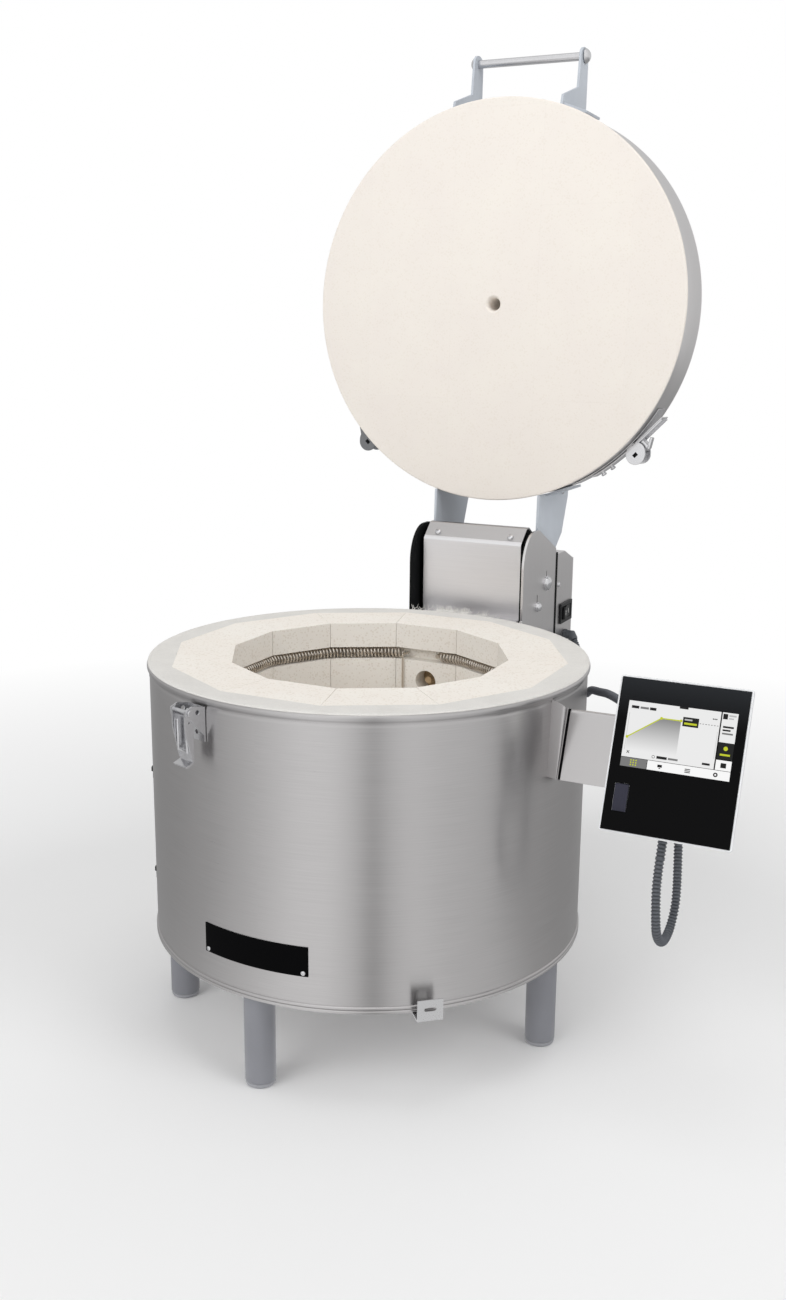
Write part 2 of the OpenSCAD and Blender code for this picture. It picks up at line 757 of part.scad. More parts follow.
// Outline of a lid arm in the YZ plane: hub, heel, bar on the lid, foot and handle end
heel_from = stop_deg + lid_open + asin((stop_d / 2 + seat) / stop_reach);
heel_reach = stop_reach - 0.5;
module arm_outline() {
    rear = rim_at_arm + seat;
    difference() {
        union() {
            translate([pivot_y, pivot_z]) circle(hub_r);
            polygon([
                [rear, lid_z], [pivot_y - 70, lid_z], [pivot_y, pivot_z - hub_r + 2],
                [pivot_y, pivot_z + hub_r], [pivot_y - 26, pivot_z + hub_r], [pivot_y - 58, bar_top - 18],
                [rear + 8, bar_top], [rear, bar_top]
            ]);
            translate([handle_y, bar_z]) square([rear - handle_y + 1, bar_h]);
            translate([handle_y, handle_z]) circle(bar_h / 2);
            polygon([
                [-rear, lid_z + 18], [-rear - 12, lid_z + 22], [-rear - 32, bar_z + 8], [-rear, bar_z + 8]
            ]);
            polygon([
                [pivot_y, pivot_z],
                [pivot_y + heel_reach * cos(heel_from), pivot_z + heel_reach * sin(heel_from)],
                [pivot_y + heel_reach * cos(heel_from + 20), pivot_z + heel_reach * sin(heel_from + 20)]
            ]);
        }
        translate([pivot_y, pivot_z]) circle(d = pivot_d + 2 * run);
        translate([pivot_y + stop_dy, pivot_z + stop_dz]) circle(stop_d / 2 + 7);
        translate([handle_y, handle_z]) circle(d = handle_d + 2 * run);
    }
}

// Arm with two tabs bent outwards along the lid band
module lid_arm() {
    tab_az = asin((arm_x + 13) / lid_r);
    side_plate(arm_x - arm_t / 2, arm_t) arm_outline();
    intersection() {
        for (az = [tab_az, 180 - tab_az])
            rotate([0, 0, az])
                translate([-18, -lid_r - 0.9 - seat - arm_t, lid_z + 22]) cube([30, arm_t, lid_t - 24]);
        translate([arm_x - 1, -lid_r - 20, lid_z]) cube([lid_r, 2 * lid_r + 40, lid_t]);
    }
    intersection() {
        for (az = [tab_az, 180 - tab_az])
            rotate([0, 0, az])
                translate([-12, -lid_r - 0.9 - seat - arm_t, lid_z + 22]) cube([30, arm_t, lid_t - 24]);
        translate([arm_x - 1, -lid_r - 20, lid_z]) cube([lid_r, 2 * lid_r + 40, lid_t]);
    }
}

module lid_arm_right() color("lightsteelblue") lid_arm();

module lid_arm_left() color("lightsteelblue") mirror([1, 0, 0]) lid_arm();

module handle_rod() color("silver")
    bar_x(-arm_x - arm_t / 2 - 1, arm_x + arm_t / 2 + 1, handle_y, handle_z, handle_d);

module handle_caps() color("silver")
    for (side = [0, 1]) mirror([side, 0, 0])
        translate([arm_x + arm_t / 2 + 1 + seat, handle_y, handle_z])
            rotate([0, 90, 0]) dome(handle_d + 8, 6);

// Ratchet that draws the lid band tight: strap, spindle between two cheeks, tail and studs
module band_tensioner() {
    mid_z = lid_z + lid_t / 2 + 2;
    strap_w = 30;
    cheek_d = 24;
    axle_y = -lid_r - cheek_d / 2 - 2.5;
    ring_part(lid_r + 0.3, lid_r + 1.8, mid_z - strap_w / 2, mid_z + strap_w / 2, -14, 20);
    translate([-5, axle_y, mid_z - 8]) cube([10, -lid_r - 0.8 - axle_y, 16]);
    translate([0, axle_y, mid_z - 14]) cylinder(d = 10, h = 28);
    for (z = [-14, 11.5])
        translate([0, axle_y, mid_z + z]) difference() {
            cylinder(d = cheek_d, h = 2.5);
            translate([-3, -2, -1]) cube([6, 4, 5]);
        }
    translate([-30, axle_y - 1, mid_z - 9]) cube([30, 3, 18]);
    translate([-34, axle_y - 4, mid_z - 7]) cube([6, 14, 14]);
    translate([3, axle_y + 6, mid_z - 10]) cube([53, 2, 20]);
    for (x = [34, 48]) bar_y(axle_y + 1, axle_y + 9, x, mid_z, 6);
}

tensioner_az = 134;

module band_tensioner_right() color("gray") rotate([0, 0, tensioner_az]) band_tensioner();

module band_tensioner_left() color("gray") mirror([1, 0, 0]) rotate([0, 0, tensioner_az]) band_tensioner();

// Switchgear box

box_outline = [
    [box_y, box_z], [box_y, box_z + box_h], [box_y + 28, box_z + box_h],
    [box_back, box_z + box_h - 14], [box_back, box_z]
];
box_inside = [
    [box_y + sheet_t, box_z + sheet_t], [box_y + sheet_t, box_z + box_h - sheet_t],
    [box_y + 28, box_z + box_h - sheet_t], [box_back + 1, box_z + box_h - 14 - sheet_t],
    [box_back + 1, box_z + sheet_t]
];

// Box open to the back, with cut-outs for the switch and the glands
module switchgear_housing() color("silver") difference() {
    side_plate(-box_x, 2 * box_x) polygon(box_outline);
    side_plate(-box_x + sheet_t, 2 * box_x - 2 * sheet_t) polygon(box_inside);
    translate([0, switch_y - switch_w / 2 + 3, switch_z - switch_h / 2 + 3])
        cube([box_x + 5, switch_w - 6, switch_h - 6]);
    bar_x(0, box_x + 5, gland_y, gland_z, 10);
    translate([-35, box_y + 34, box_z - 5]) cylinder(d = 14, h = 20);
}

module rear_cover() color("silver") difference() {
    translate([-box_x, box_back + 0.1, box_z]) cube([2 * box_x, sheet_t, box_h - 14]);
    for (i = [0:7])
        translate([-45, box_back - 1, box_z + 30 + i * 12]) cube([90, sheet_t + 3, 4]);
}

module switch_frame() color("black") difference() {
    union() {
        translate([box_x + seat, switch_y - switch_w / 2, switch_z - switch_h / 2])
            cube([2.5, switch_w, switch_h]);
        translate([box_x - 18, switch_y - switch_w / 2 + 3 + seat, switch_z - switch_h / 2 + 3 + seat])
            cube([20, switch_w - 6 - 2 * seat, switch_h - 6 - 2 * seat]);
    }
    translate([box_x - 8, switch_y - switch_w / 2 + 5, switch_z - switch_h / 2 + 5])
        cube([20, switch_w - 10, switch_h - 10]);
}

// Rocker with a hollow face, tipped towards its off side
module switch_rocker() {
    half = switch_w / 2 - 5 - 0.8;
    height = switch_h - 10 - 1.2;
    color("black") translate([box_x - 1, switch_y, switch_z - height / 2]) rotate([0, 0, rocker_tilt]) {
        linear_extrude(height) polygon([
            [-3, -half + 3], [-3, half - 3], [3, half], [5.2, half - 1], [3.6, 0],
            [5.2, -half + 1], [3, -half]
        ]);
        translate([0, 0, -0.4]) cylinder(d = 3, h = height + 0.8);
    }
}

// Threaded nipple, nut and dome nut of a cable gland, along +Z
module gland(bore, size) difference() {
    union() {
        translate([0, 0, -6]) cylinder(d = size - 4.6, h = 7);
        cylinder(d = size, h = 5, $fn = 6);
        translate([0, 0, 5]) cylinder(d = size - 3, h = 6);
        translate([0, 0, 11]) cylinder(d1 = size - 3, d2 = size - 5, h = 4);
    }
    translate([0, 0, -20]) cylinder(d = bore, h = 60);
}

// Elbow gland of the control hose: nipple, nut, and a neck turned down and forwards
module box_gland() {
    elbow_x = box_x + 10.4;
    color("dimgray") difference() {
        union() {
            bar_x(box_x + seat - 6, box_x + seat + 1, gland_y, gland_z, 9.4);
            translate([box_x + seat, gland_y, gland_z]) rotate([0, 90, 0]) cylinder(d = 14, h = 4, $fn = 6);
            bar_x(box_x + seat + 3, elbow_x + 3, gland_y, gland_z, 11.4);
            translate([elbow_x, gland_y, gland_z]) rotate([0, 127.6, -42.95]) {
                translate([0, 0, -2]) cylinder(d = 12, h = 9);
                translate([0, 0, 7]) cylinder(d1 = 12, d2 = 9.6, h = 3);
            }
        }
        bar_x(box_x - 10, elbow_x + 1, gland_y, gland_z, hose_d - 1);
        translate([elbow_x, gland_y, gland_z]) rotate([0, 127.6, -42.95]) cylinder(d = hose_d - 1.4, h = 30);
    }
}

module mains_gland() color("dimgray")
    translate([-35, box_y + 34, box_z - seat]) rotate([180, 0, 0]) gland(9, 18);

module terminal_block() color("ivory") translate([-60, box_y + sheet_t + seat, box_z + 70]) {
    cube([50, 12, 26]);
    for (i = [0:4]) translate([2 + i * 10, 11, 4]) cube([6, 8, 18]);
}

module power_relay() color("dimgray") translate([5, box_y + sheet_t + seat, box_z + 60]) {
    cube([45, 6, 60]);
    for (i = [0:6]) translate([1.5 + i * 7, 5, 0]) cube([2, 18, 60]);
    translate([0, 5, 14]) cube([45, 10, 32]);
}

// Controller on its bracket

bracket_low = -34;
bracket_high = 38;
bracket_t = 2;

// Sheet folded along the jacket, out to the side and back
module bracket_base() color("silver") {
    difference() {
        union() {
            place_controller()
                translate([bracket_x - 60 - ctl_pos.x, arm_back, bracket_low])
                    cube([60, bracket_t, bracket_high - bracket_low]);
            place_controller()
                translate([bracket_x - 2 - ctl_pos.x, arm_back, bracket_low])
                    cube([2, 18, bracket_high - bracket_low]);
        }
        cylinder(r = drum_r + seat + 1, h = 2 * rim_z);
        place_controller() for (z = [-20, 24])
            bar_x(bracket_x - 10 - ctl_pos.x, bracket_x + 10 - ctl_pos.x, arm_back + 11, z, 5 + 2 * run);
    }
    ring_part(drum_r + seat, drum_r + seat + bracket_t, rim_z - 96, rim_z - 11, 75.5, 84);
}

module bracket_arm() {
    left = bracket_x + 2.4 - ctl_pos.x;
    color("silver") place_controller() difference() {
        union() {
            translate([left, arm_back, bracket_low]) cube([-left - 12, bracket_t, bracket_high - bracket_low]);
            translate([left, arm_back, bracket_low]) cube([2, 18, bracket_high - bracket_low]);
        }
        for (z = [-20, 24]) bar_x(left - 10, left + 10, arm_back + 11, z, 5 + 2 * run);
    }
}

// Two bolts with a washer between the folded edges
module bracket_bolts() color("gray") place_controller()
    for (z = [-20, 24]) {
        x = bracket_x - ctl_pos.x;
        bar_x(x - 2.6, x + 8, arm_back + 11, z, 5);
        bar_x(x + 0.1, x + 2.3, arm_back + 11, z, 10);
        bar_x(x + 4.5, x + 8, arm_back + 11, z, 9);
    }

glass_inset = 1.6;
glass_t = 2;
cover_w = 13;
cover_h = 26;
cover_mid = [-46, -41.5];
cover_recess = 1.6;

// Housing with a tray for the glass and chamfered back edges
module controller_housing() color("gainsboro") place_controller() difference() {
    union() {
        translate([-ctl_w / 2, 0.2, -ctl_h / 2]) cube([ctl_w, ctl_d - 8.2, ctl_h]);
        side_plate(-ctl_w / 2 + 6, ctl_w - 12) polygon([
            [ctl_d - 9, -ctl_h / 2], [ctl_d - 8, -ctl_h / 2], [ctl_d, -ctl_h / 2 + 8], [ctl_d, ctl_h / 2 - 8],
            [ctl_d - 8, ctl_h / 2], [ctl_d - 9, ctl_h / 2]
        ]);
    }
    translate([-ctl_w / 2 + glass_inset, -1, -ctl_h / 2 + glass_inset])
        cube([ctl_w - 2 * glass_inset, glass_t + 1 + seat, ctl_h - 2 * glass_inset]);
    translate([-3.5, ctl_d / 2, -ctl_h / 2 - 1]) cylinder(d = 9, h = 20);
}

module controller_glass() color("black") place_controller() difference() {
    translate([-ctl_w / 2 + glass_inset + seat, 0, -ctl_h / 2 + glass_inset + seat])
        cube([ctl_w - 2 * glass_inset - 2 * seat, glass_t, ctl_h - 2 * glass_inset - 2 * seat]);
    translate([cover_mid.x - cover_w / 2 - 0.5, -1, cover_mid.y - cover_h / 2 - 0.5])
        cube([cover_w + 1, glass_t + 2, cover_h + 1]);
}

// Flap over the data port, hung by its upper edge
module port_cover() color("darkslategray") place_controller()
    translate([cover_mid.x - cover_w / 2, 0, cover_mid.y - cover_h / 2]) {
        translate([0, 0.2, 0]) cube([cover_w, cover_recess - 0.2, cover_h - 0.9]);
        bar_x(0, cover_w, 0.7, cover_h - 0.6, 1.2);
        translate([2, -0.8, 0.6]) cube([cover_w - 4, 1.2, 1.2]);
    }

module controller_gland() color("dimgray") place_controller()
    translate([-3.5, ctl_d / 2, -ctl_h / 2 - seat]) rotate([180, 0, 0]) gland(hose_d - 1, 13);

// Ribbed hose with a bore: rings of two radii by turns
module control_hose() {
    count = 2 * hose_ribs + 1;
    sides = 8;
    p = even_points(hose_route, count);
    q = [for (i = [0:4:count - 1]) p[i]];
    outer = rings(p, [for (i = [0:count - 1]) hose_d / 2 - (i % 2 == 0 ? 0.6 : 0)], sides);
    inner = rings(q, [for (c = q) hose_bore / 2], sides);
    base = len(outer);
    end_out = (count - 1) * sides;
    end_in = base + (len(q) - 1) * sides;
    color("dimgray") polyhedron(
        concat(outer, inner),
        concat(
            skin(count, sides, 0, false),
            skin(len(q), sides, base, true),
            [for (k = [0:sides - 1]) let (n = (k + 1) % sides) each
                [[k, base + k, base + n], [k, base + n, n]]],
            [for (k = [0:sides - 1]) let (n = (k + 1) % sides) each
                [[end_out + k, end_in + n, end_in + k], [end_out + k, end_out + n, end_in + n]]]
        ),
        convexity = 10
    );
}

place() drum_jacket();
place() seam_strip();
place() seam_clips();
place() floor_pan();
place() floor_board();
place() floor_brick();
place() wall_bricks();
place() backup_insulation();
place() element_upper();
place() element_middle();
place() element_lower();
place() element_jumpers();
place() element_terminals();
place() terminal_bushings();
place() thermocouple();
place() legs();
place() leg_feet();
place() slide_guides();
place() air_slide();
place() latch_base();
place() latch_pin();
place() latch_lever();
place() latch_bail();
place() hinge_plate_left();
place() hinge_plate_right();
place() hinge_cover();
place() hinge_crossbar();
place() pivot_bolts();
place() stop_bolts();
place_lid() lid_brick();
place_lid() lid_band();
place_lid() lid_cover();
place_lid() lid_arm_left();
place_lid() lid_arm_right();
place_lid() handle_rod();
place_lid() handle_caps();
place_lid() band_tensioner_left();
place_lid() band_tensioner_right();
place() switchgear_housing();
place() rear_cover();
place() switch_frame();
place() switch_rocker();
place() box_gland();
place() mains_gland();
place() terminal_block();
place() power_relay();
place() bracket_base();
place() bracket_arm();
place() bracket_bolts();
place() controller_housing();
place() controller_glass();
place() port_cover();
place() controller_gland();
place() control_hose();
place() name_plate();
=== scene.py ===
import bpy
import json
import random
from math import acos, atan2, cos, degrees, hypot, pi, radians, sin, tan
from mathutils import Matrix, Vector


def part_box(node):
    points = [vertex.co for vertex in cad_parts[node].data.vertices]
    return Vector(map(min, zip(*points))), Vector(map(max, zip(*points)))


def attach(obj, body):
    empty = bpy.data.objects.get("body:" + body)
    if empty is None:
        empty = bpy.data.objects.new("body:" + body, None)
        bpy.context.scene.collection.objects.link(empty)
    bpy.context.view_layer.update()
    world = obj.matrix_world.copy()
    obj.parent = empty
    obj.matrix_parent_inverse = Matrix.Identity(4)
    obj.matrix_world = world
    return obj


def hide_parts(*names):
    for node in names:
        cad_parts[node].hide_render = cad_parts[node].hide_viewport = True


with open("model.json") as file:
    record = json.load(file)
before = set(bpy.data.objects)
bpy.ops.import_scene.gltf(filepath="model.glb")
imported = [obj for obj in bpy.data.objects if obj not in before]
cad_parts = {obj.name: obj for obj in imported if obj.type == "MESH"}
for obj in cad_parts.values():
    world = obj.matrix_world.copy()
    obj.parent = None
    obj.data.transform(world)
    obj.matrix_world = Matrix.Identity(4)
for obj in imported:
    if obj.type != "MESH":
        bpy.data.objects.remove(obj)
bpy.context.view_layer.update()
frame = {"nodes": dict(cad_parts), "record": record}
nodes = frame["nodes"]
slotOf = {part["node"]: part["material_slot"] for part in frame["record"]["subparts"]}
bodies = frame["record"]["behaviour"]["bodies"]
bodyOf = {node: body for body, members in bodies.items() for node in members}
scene = bpy.context.scene
edit = bpy.ops.mesh
scene.view_settings.view_transform = "Standard"
mm = 0.001
weld = 2e-6  # metres; corners closer than this become one
drum = {"axisX": -89.85, "axisY": -99.9862, "radius": 235.0, "wall": 1.2, "low": 105.0, "steps": 288,
        "beadCentre": 234.6, "bead": 1.95, "beadRows": (107.2, 110.94)}
print("frame loaded:", len(nodes), "CAD nodes")


def at(x, y, z=0.0):  # millimetres from the drum axis to metres in the shared frame
    return Vector((x + drum["axisX"], y + drum["axisY"], z)) * mm


def polar(radius, degrees):  # azimuth counts from the front towards +X
    a = radians(degrees)
    return radius * sin(a), -radius * cos(a)


def onRing(radius, degrees, z=0.0):
    return at(*polar(radius, degrees), z)


def spun(degrees, axis):  # a turn round one axis
    return Matrix.Rotation(radians(degrees), 4, axis)


drumFoot = at(0, 0)
drumMove = Matrix.Translation(drumFoot)
lidMove = {"y": 344.0, "z": 434.0, "open": 92.0}
lidHinge = at(0, lidMove["y"], lidMove["z"])
lidOpen = (Matrix.Translation(lidHinge) @ spun(-lidMove["open"], "X")
           @ Matrix.Translation(-lidHinge))  # a closed lid's place to the open one of the rest pose


def clearSelection():
    if bpy.context.object and bpy.context.object.mode != "OBJECT":
        bpy.ops.object.mode_set(mode="OBJECT")
    bpy.ops.object.select_all(action="DESELECT")


def pick(piece):
    clearSelection()
    piece.select_set(True)
    bpy.context.view_layer.objects.active = piece


def editAll(piece):  # edit mode with everything selected
    pick(piece)
    bpy.ops.object.mode_set(mode="EDIT")
    edit.select_all(action="SELECT")


def done():
    bpy.ops.object.mode_set(mode="OBJECT")


def useModifier(piece, kind, **settings):
    pick(piece)
    tool = piece.modifiers.new(kind.lower(), kind)
    for key, value in settings.items():
        setattr(tool, key, value)
    bpy.ops.object.modifier_apply(modifier=tool.name)


def smooth(piece, degrees=35):
    pick(piece)
    bpy.ops.object.shade_smooth_by_angle(angle=radians(degrees))


def softEdges(piece, width, steps=2, degrees=30):  # the small radius every real edge has
    useModifier(piece, "BEVEL", width=width * mm, segments=steps, limit_method="ANGLE",
                angle_limit=radians(degrees), use_clamp_overlap=True)
    smooth(piece)
    useModifier(piece, "WEIGHTED_NORMAL", keep_sharp=True)  # flat faces stay flat beside their soft edges


def newObject(name, data):
    piece = bpy.data.objects.new(name, data)
    scene.collection.objects.link(piece)
    return piece


def named(piece, name):
    piece.name = name
    piece.data.name = name
    return piece


def joined(name, pieces):
    clearSelection()
    for piece in pieces:
        piece.select_set(True)
    bpy.context.view_layer.objects.active = pieces[0]
    if len(pieces) > 1:
        bpy.ops.object.join()
    return named(bpy.context.object, name)


def place(piece, move):
    piece.data.transform(move)
    if move.determinant() < 0:  # a mirrored place turns the shape inside out
        piece.data.flip_normals()


def copyOf(piece, move):  # a copy with its own mesh
    twin = piece.copy()
    twin.data = piece.data.copy()
    scene.collection.objects.link(twin)
    place(twin, move)
    return twin


def fit(piece, look, body, slotName, *stoodFor):  # gives a piece its finish and body, and hides the CAD nodes it stands for
    clearSelection()
    piece.data.materials.clear()
    piece.data.materials.append(finish[look])
    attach(piece, body)
    if stoodFor:
        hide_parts(*stoodFor)
    return piece


def standFor(piece, look, node):  # a piece in a CAD node's place and on its body
    return fit(piece, look, bodyOf[node], slotOf[node], node)


def copyNode(node, name):  # a CAD node's own shape, merged, to be refined
    piece = newObject(name, nodes[node].data.copy())
    editAll(piece)
    edit.remove_doubles(threshold=weld)
    edit.dissolve_limited(angle_limit=radians(0.6))
    done()
    return named(piece, name)


def drawn(points):  # a line of edges through the points, left in edit mode
    clearSelection()
    edit.primitive_plane_add(size=mm, location=(0, 0, 0))
    piece = bpy.context.object
    editAll(piece)
    edit.merge(type="CENTER")
    bpy.ops.transform.translate(value=points[0])
    for before, after in zip(points, points[1:]):
        edit.extrude_vertices_move(TRANSFORM_OT_translate={"value": after - before})
    edit.select_all(action="SELECT")
    return piece


def outwards():  # ends an edit with every face turned to the outside
    edit.select_all(action="SELECT")
    edit.normals_make_consistent(inside=False)
    done()


def turn(name, profile, steps, centre=(0, 0, 0), axis="Z", closed=True):
    # a lathe: (radius, height) points in millimetres, drawn as a line and spun
    points = [Vector((r, 0, h)) * mm for r, h in profile]
    piece = drawn(points + points[:1] if closed else points)
    edit.spin(steps=steps, angle=2 * pi, center=(0, 0, 0), axis=(0, 0, 1))
    edit.select_all(action="SELECT")
    edit.remove_doubles(threshold=weld)
    outwards()
    if axis == "X":
        piece.data.transform(spun(90, "Y"))
    if axis == "-Y":
        piece.data.transform(spun(90, "X"))
    piece.data.transform(Matrix.Translation(centre))
    smooth(piece)
    return named(piece, name)


def arc(centre, radius, start, end, count):  # points of a profile's rounding
    angles = [radians(start + (end - start) * i / count) for i in range(count + 1)]
    return [(centre[0] + radius * cos(a), centre[1] + radius * sin(a)) for a in angles]


def tube(name, path, radii, sides):  # a tube of changing radius along points, ends closed
    angles = [2 * pi * k / sides for k in range(sides)]
    corners, side = [], None
    for i, point in enumerate(path):
        ahead = (path[min(i + 1, len(path) - 1)] - path[max(i - 1, 0)]).normalized()
        if side is None:
            side = ahead.orthogonal().normalized()
        side = (side - ahead * side.dot(ahead)).normalized()
        other = ahead.cross(side)
        corners += [point + radii[i] * (cos(a) * side + sin(a) * other) for a in angles]
    faces = []
    for low in range(0, len(corners) - sides, sides):
        faces += [(low + k, low + (k + 1) % sides, low + sides + (k + 1) % sides, low + sides + k)
                  for k in range(sides)]
    faces += [tuple(range(sides))[::-1], tuple(range(len(corners) - sides, len(corners)))]
    mesh = bpy.data.meshes.new(name)
    mesh.from_pydata(corners, [], faces)
    piece = newObject(name, mesh)
    smooth(piece, 50)
    return piece


def through(points, gap, samples=24):  # an even line through the route's points, and its length
    line = []
    for i in range(len(points) - 1):
        a, b = points[max(i - 1, 0)], points[i]
        c, d = points[i + 1], points[min(i + 2, len(points) - 1)]
        for k in range(samples):
            t = k / samples
            line.append(0.5 * (2 * b + (c - a) * t + (2 * a - 5 * b + 4 * c - d) * t * t
                               + (3 * b - a - 3 * c + d) * t * t * t))
    line.append(points[-1])
    total = sum((q - p).length for p, q in zip(line, line[1:]))
    count = max(2, round(total / gap))
    even, k, passed = [line[0]], 0, 0.0
    for i in range(1, count):
        wanted = total * i / count
        while passed + (line[k + 1] - line[k]).length < wanted:
            passed += (line[k + 1] - line[k]).length
            k += 1
        span = (line[k + 1] - line[k]).length
        even.append(line[k].lerp(line[k + 1], (wanted - passed) / span))
    return even + [line[-1]], total


def bent(start, corner, end, t):  # a point of the curve that rounds a corner
    return start * (1 - t) ** 2 + corner * 2 * t * (1 - t) + end * t * t


def rounded(points, radius, count=4, most=0.45):  # a line with its inner corners bent to a radius
    line = [points[0]]
    for before, corner, after in zip(points, points[1:], points[2:]):
        corner = Vector(corner)
        a, b = Vector(before) - corner, Vector(after) - corner
        cut = min(radius / tan(a.angle(b) / 2), a.length * most, b.length * most)
        start, end = corner + a.normalized() * cut, corner + b.normalized() * cut
        line += [tuple(bent(start, corner, end, k / count)) for k in range(count + 1)]
    return line + [points[-1]]


def bentSheet(name, line, start, end, thick, move):  # a folded sheet: a line across, drawn out along X
    piece = drawn([Vector((start, y, z)) * mm for y, z in line])
    edit.extrude_region_move(TRANSFORM_OT_translate={"value": ((end - start) * mm, 0, 0)})
    outwards()
    useModifier(piece, "SOLIDIFY", thickness=thick * mm, offset=0.0)
    place(piece, move)
    softEdges(piece, min(0.3, thick / 4), 2, 50)
    return named(piece, name)


def plate(name, outline, thick, move, edge=0.4):  # a flat outline in millimetres, drawn out along its own Z
    clearSelection()
    edit.primitive_circle_add(vertices=len(outline), radius=1, fill_type="NGON")
    piece = bpy.context.object
    for corner, (x, y) in zip(piece.data.vertices, outline):
        corner.co = Vector((x, y, 0)) * mm
    editAll(piece)
    edit.extrude_region_move(TRANSFORM_OT_translate={"value": (0, 0, thick * mm)})
    outwards()
    place(piece, move)
    if edge:
        softEdges(piece, edge, 2)
    return named(piece, name)


def box(a, b):  # corners of a rectangle
    return [(a[0], a[1]), (b[0], a[1]), (b[0], b[1]), (a[0], b[1])]


def disc(x, y, radius, count):
    angles = [2 * pi * k / count for k in range(count)]
    return [(x + radius * cos(a), y + radius * sin(a)) for a in angles]


def softBox(half, radius):  # a rectangle with rounded corners
    corners = []
    for k, (x, y) in enumerate(((1, 1), (-1, 1), (-1, -1), (1, -1))):
        corners += arc((x * (half[0] - radius), y * (half[1] - radius)), radius, 90 * k, 90 * k + 90, 6)
    return corners


def aimed(normal, place):  # turns +Z to a normal and moves to a place
    return Matrix.Translation(place) @ Vector(normal).to_track_quat("Z", "Y").to_matrix().to_4x4()


def raised(move, z):  # further along the place's own Z
    return move @ Matrix.Translation((0, 0, z * mm))


def upright(move, x):  # an outline of (y, z) points, drawn out along X from this place
    return move @ Matrix.Translation((x * mm, 0, 0)) @ Matrix(((0, 0, 1), (1, 0, 0), (0, 1, 0))).to_4x4()


def lying(move):  # a bent sheet of (x, y) points, drawn out upwards
    return move @ Matrix(((0, 1, 0), (0, 0, 1), (1, 0, 0))).to_4x4()


control = {"x": 357.5, "y": -73.0, "z": 361.0, "lean": 21.0}  # middle of the controller's face
controlMove = (Matrix.Translation(at(control["x"], control["y"], control["z"]))
               @ spun(-control["lean"], "X"))
controlFace = controlMove @ Matrix(((1, 0, 0), (0, 0, -1), (0, 1, 0))).to_4x4()  # (x, z) drawn outwards

shot = {"x": 559.15, "y": -1363.19, "z": 755.3, "yaw": 26.16, "pitch": -13.63, "roll": 0.46, "lens": 37.37}
camera = newObject("shotCamera", bpy.data.cameras.new("shotCamera"))
camera.data.lens = shot["lens"]
camera.data.sensor_width = 36.0
camera.matrix_world = (Matrix.Translation(Vector((shot["x"], shot["y"], shot["z"])) * mm)
                       @ spun(shot["yaw"], "Z")
                       @ spun(90 + shot["pitch"], "X")
                       @ spun(shot["roll"], "Z"))
scene.camera = camera
print("camera placed")


def tone(code):  # sRGB hex to linear
    parts = [int(code[i:i + 2], 16) / 255 for i in (1, 3, 5)]
    return tuple(c / 12.92 if c <= 0.04045 else ((c + 0.055) / 1.055) ** 2.4 for c in parts) + (1.0,)


def shades(code, darker, lighter):  # a tone's neighbours, as shares of it
    base = tone(code)[:3]
    return tuple(c * darker for c in base) + (1.0,), tuple(min(1, c * lighter) for c in base) + (1.0,)


def grey(value):
    return (value, value, value, 1.0)


def addNode(tree, kind, settings=None, **inputs):  # one node with its settings and links
    node = tree.nodes.new("ShaderNode" + kind)
    for key, value in (settings or {}).items():
        setattr(node, key, value)
    for key, value in inputs.items():
        numbered = key[0] == "i" and key[1:].isdigit()
        socket = node.inputs[int(key[1:]) if numbered else key.replace("_", " ")]
        if isinstance(value, bpy.types.NodeSocket):
            tree.links.new(value, socket)
        else:
            socket.default_value = value
    return node


def newMaterial(name, **shader):
    material = bpy.data.materials.new(name)
    material.use_nodes = True
    tree = material.node_tree
    tree.nodes.clear()
    surface = addNode(tree, "BsdfPrincipled", **shader)
    addNode(tree, "OutputMaterial", Surface=surface.outputs[0])
    return material, tree, surface


def connect(material, surface, **links):
    for key, output in links.items():
        material.node_tree.links.new(output, surface.inputs[key.replace("_", " ")])
    return material


def ramp(tree, value, stops):  # stops are (place, colour)
    node = addNode(tree, "ValToRGB", Fac=value)
    bar = node.color_ramp
    while len(bar.elements) < len(stops):
        bar.elements.new(0.5)
    for element, (place, colour) in zip(bar.elements, stops):
        element.position = place
        element.color = colour
    return node.outputs["Color"]


def calc(tree, operation, *values):  # one step of arithmetic
    inputs = {"i" + str(k): value for k, value in enumerate(values)}
    return addNode(tree, "Math", {"operation": operation}, **inputs).outputs[0]


def blend(tree, share, first, second, kind="MIX"):
    settings = {"data_type": "RGBA", "blend_type": kind}
    return addNode(tree, "Mix", settings, Factor=share, i6=first, i7=second).outputs[2]


def objectPlace(tree):
    return addNode(tree, "TexCoord").outputs["Object"]


def split(tree, vector):
    return addNode(tree, "SeparateXYZ", Vector=vector).outputs


def noise(tree, place, size, detail, rough=0.5, output="Fac"):  # size in metres
    node = addNode(tree, "TexNoise", Vector=place, Scale=1 / size, Detail=detail, Roughness=rough)
    return node.outputs[output]


def relief(tree, height, strength, depth):  # fine relief, depth in metres
    return addNode(tree, "Bump", Height=height, Strength=strength, Distance=depth).outputs[0]


def ringCoordinates(tree, centre, lies):  # length round a ring and place across it, in metres
    moved = addNode(tree, "Mapping", Vector=objectPlace(tree), Location=-centre).outputs[0]
    x, y, z = split(tree, moved)
    second, across = (y, z) if lies else (z, y)
    along = calc(tree, "MULTIPLY", calc(tree, "ARCTAN2", x, second), drum["radius"] * mm)
    return addNode(tree, "CombineXYZ", X=along, Z=across).outputs[0]


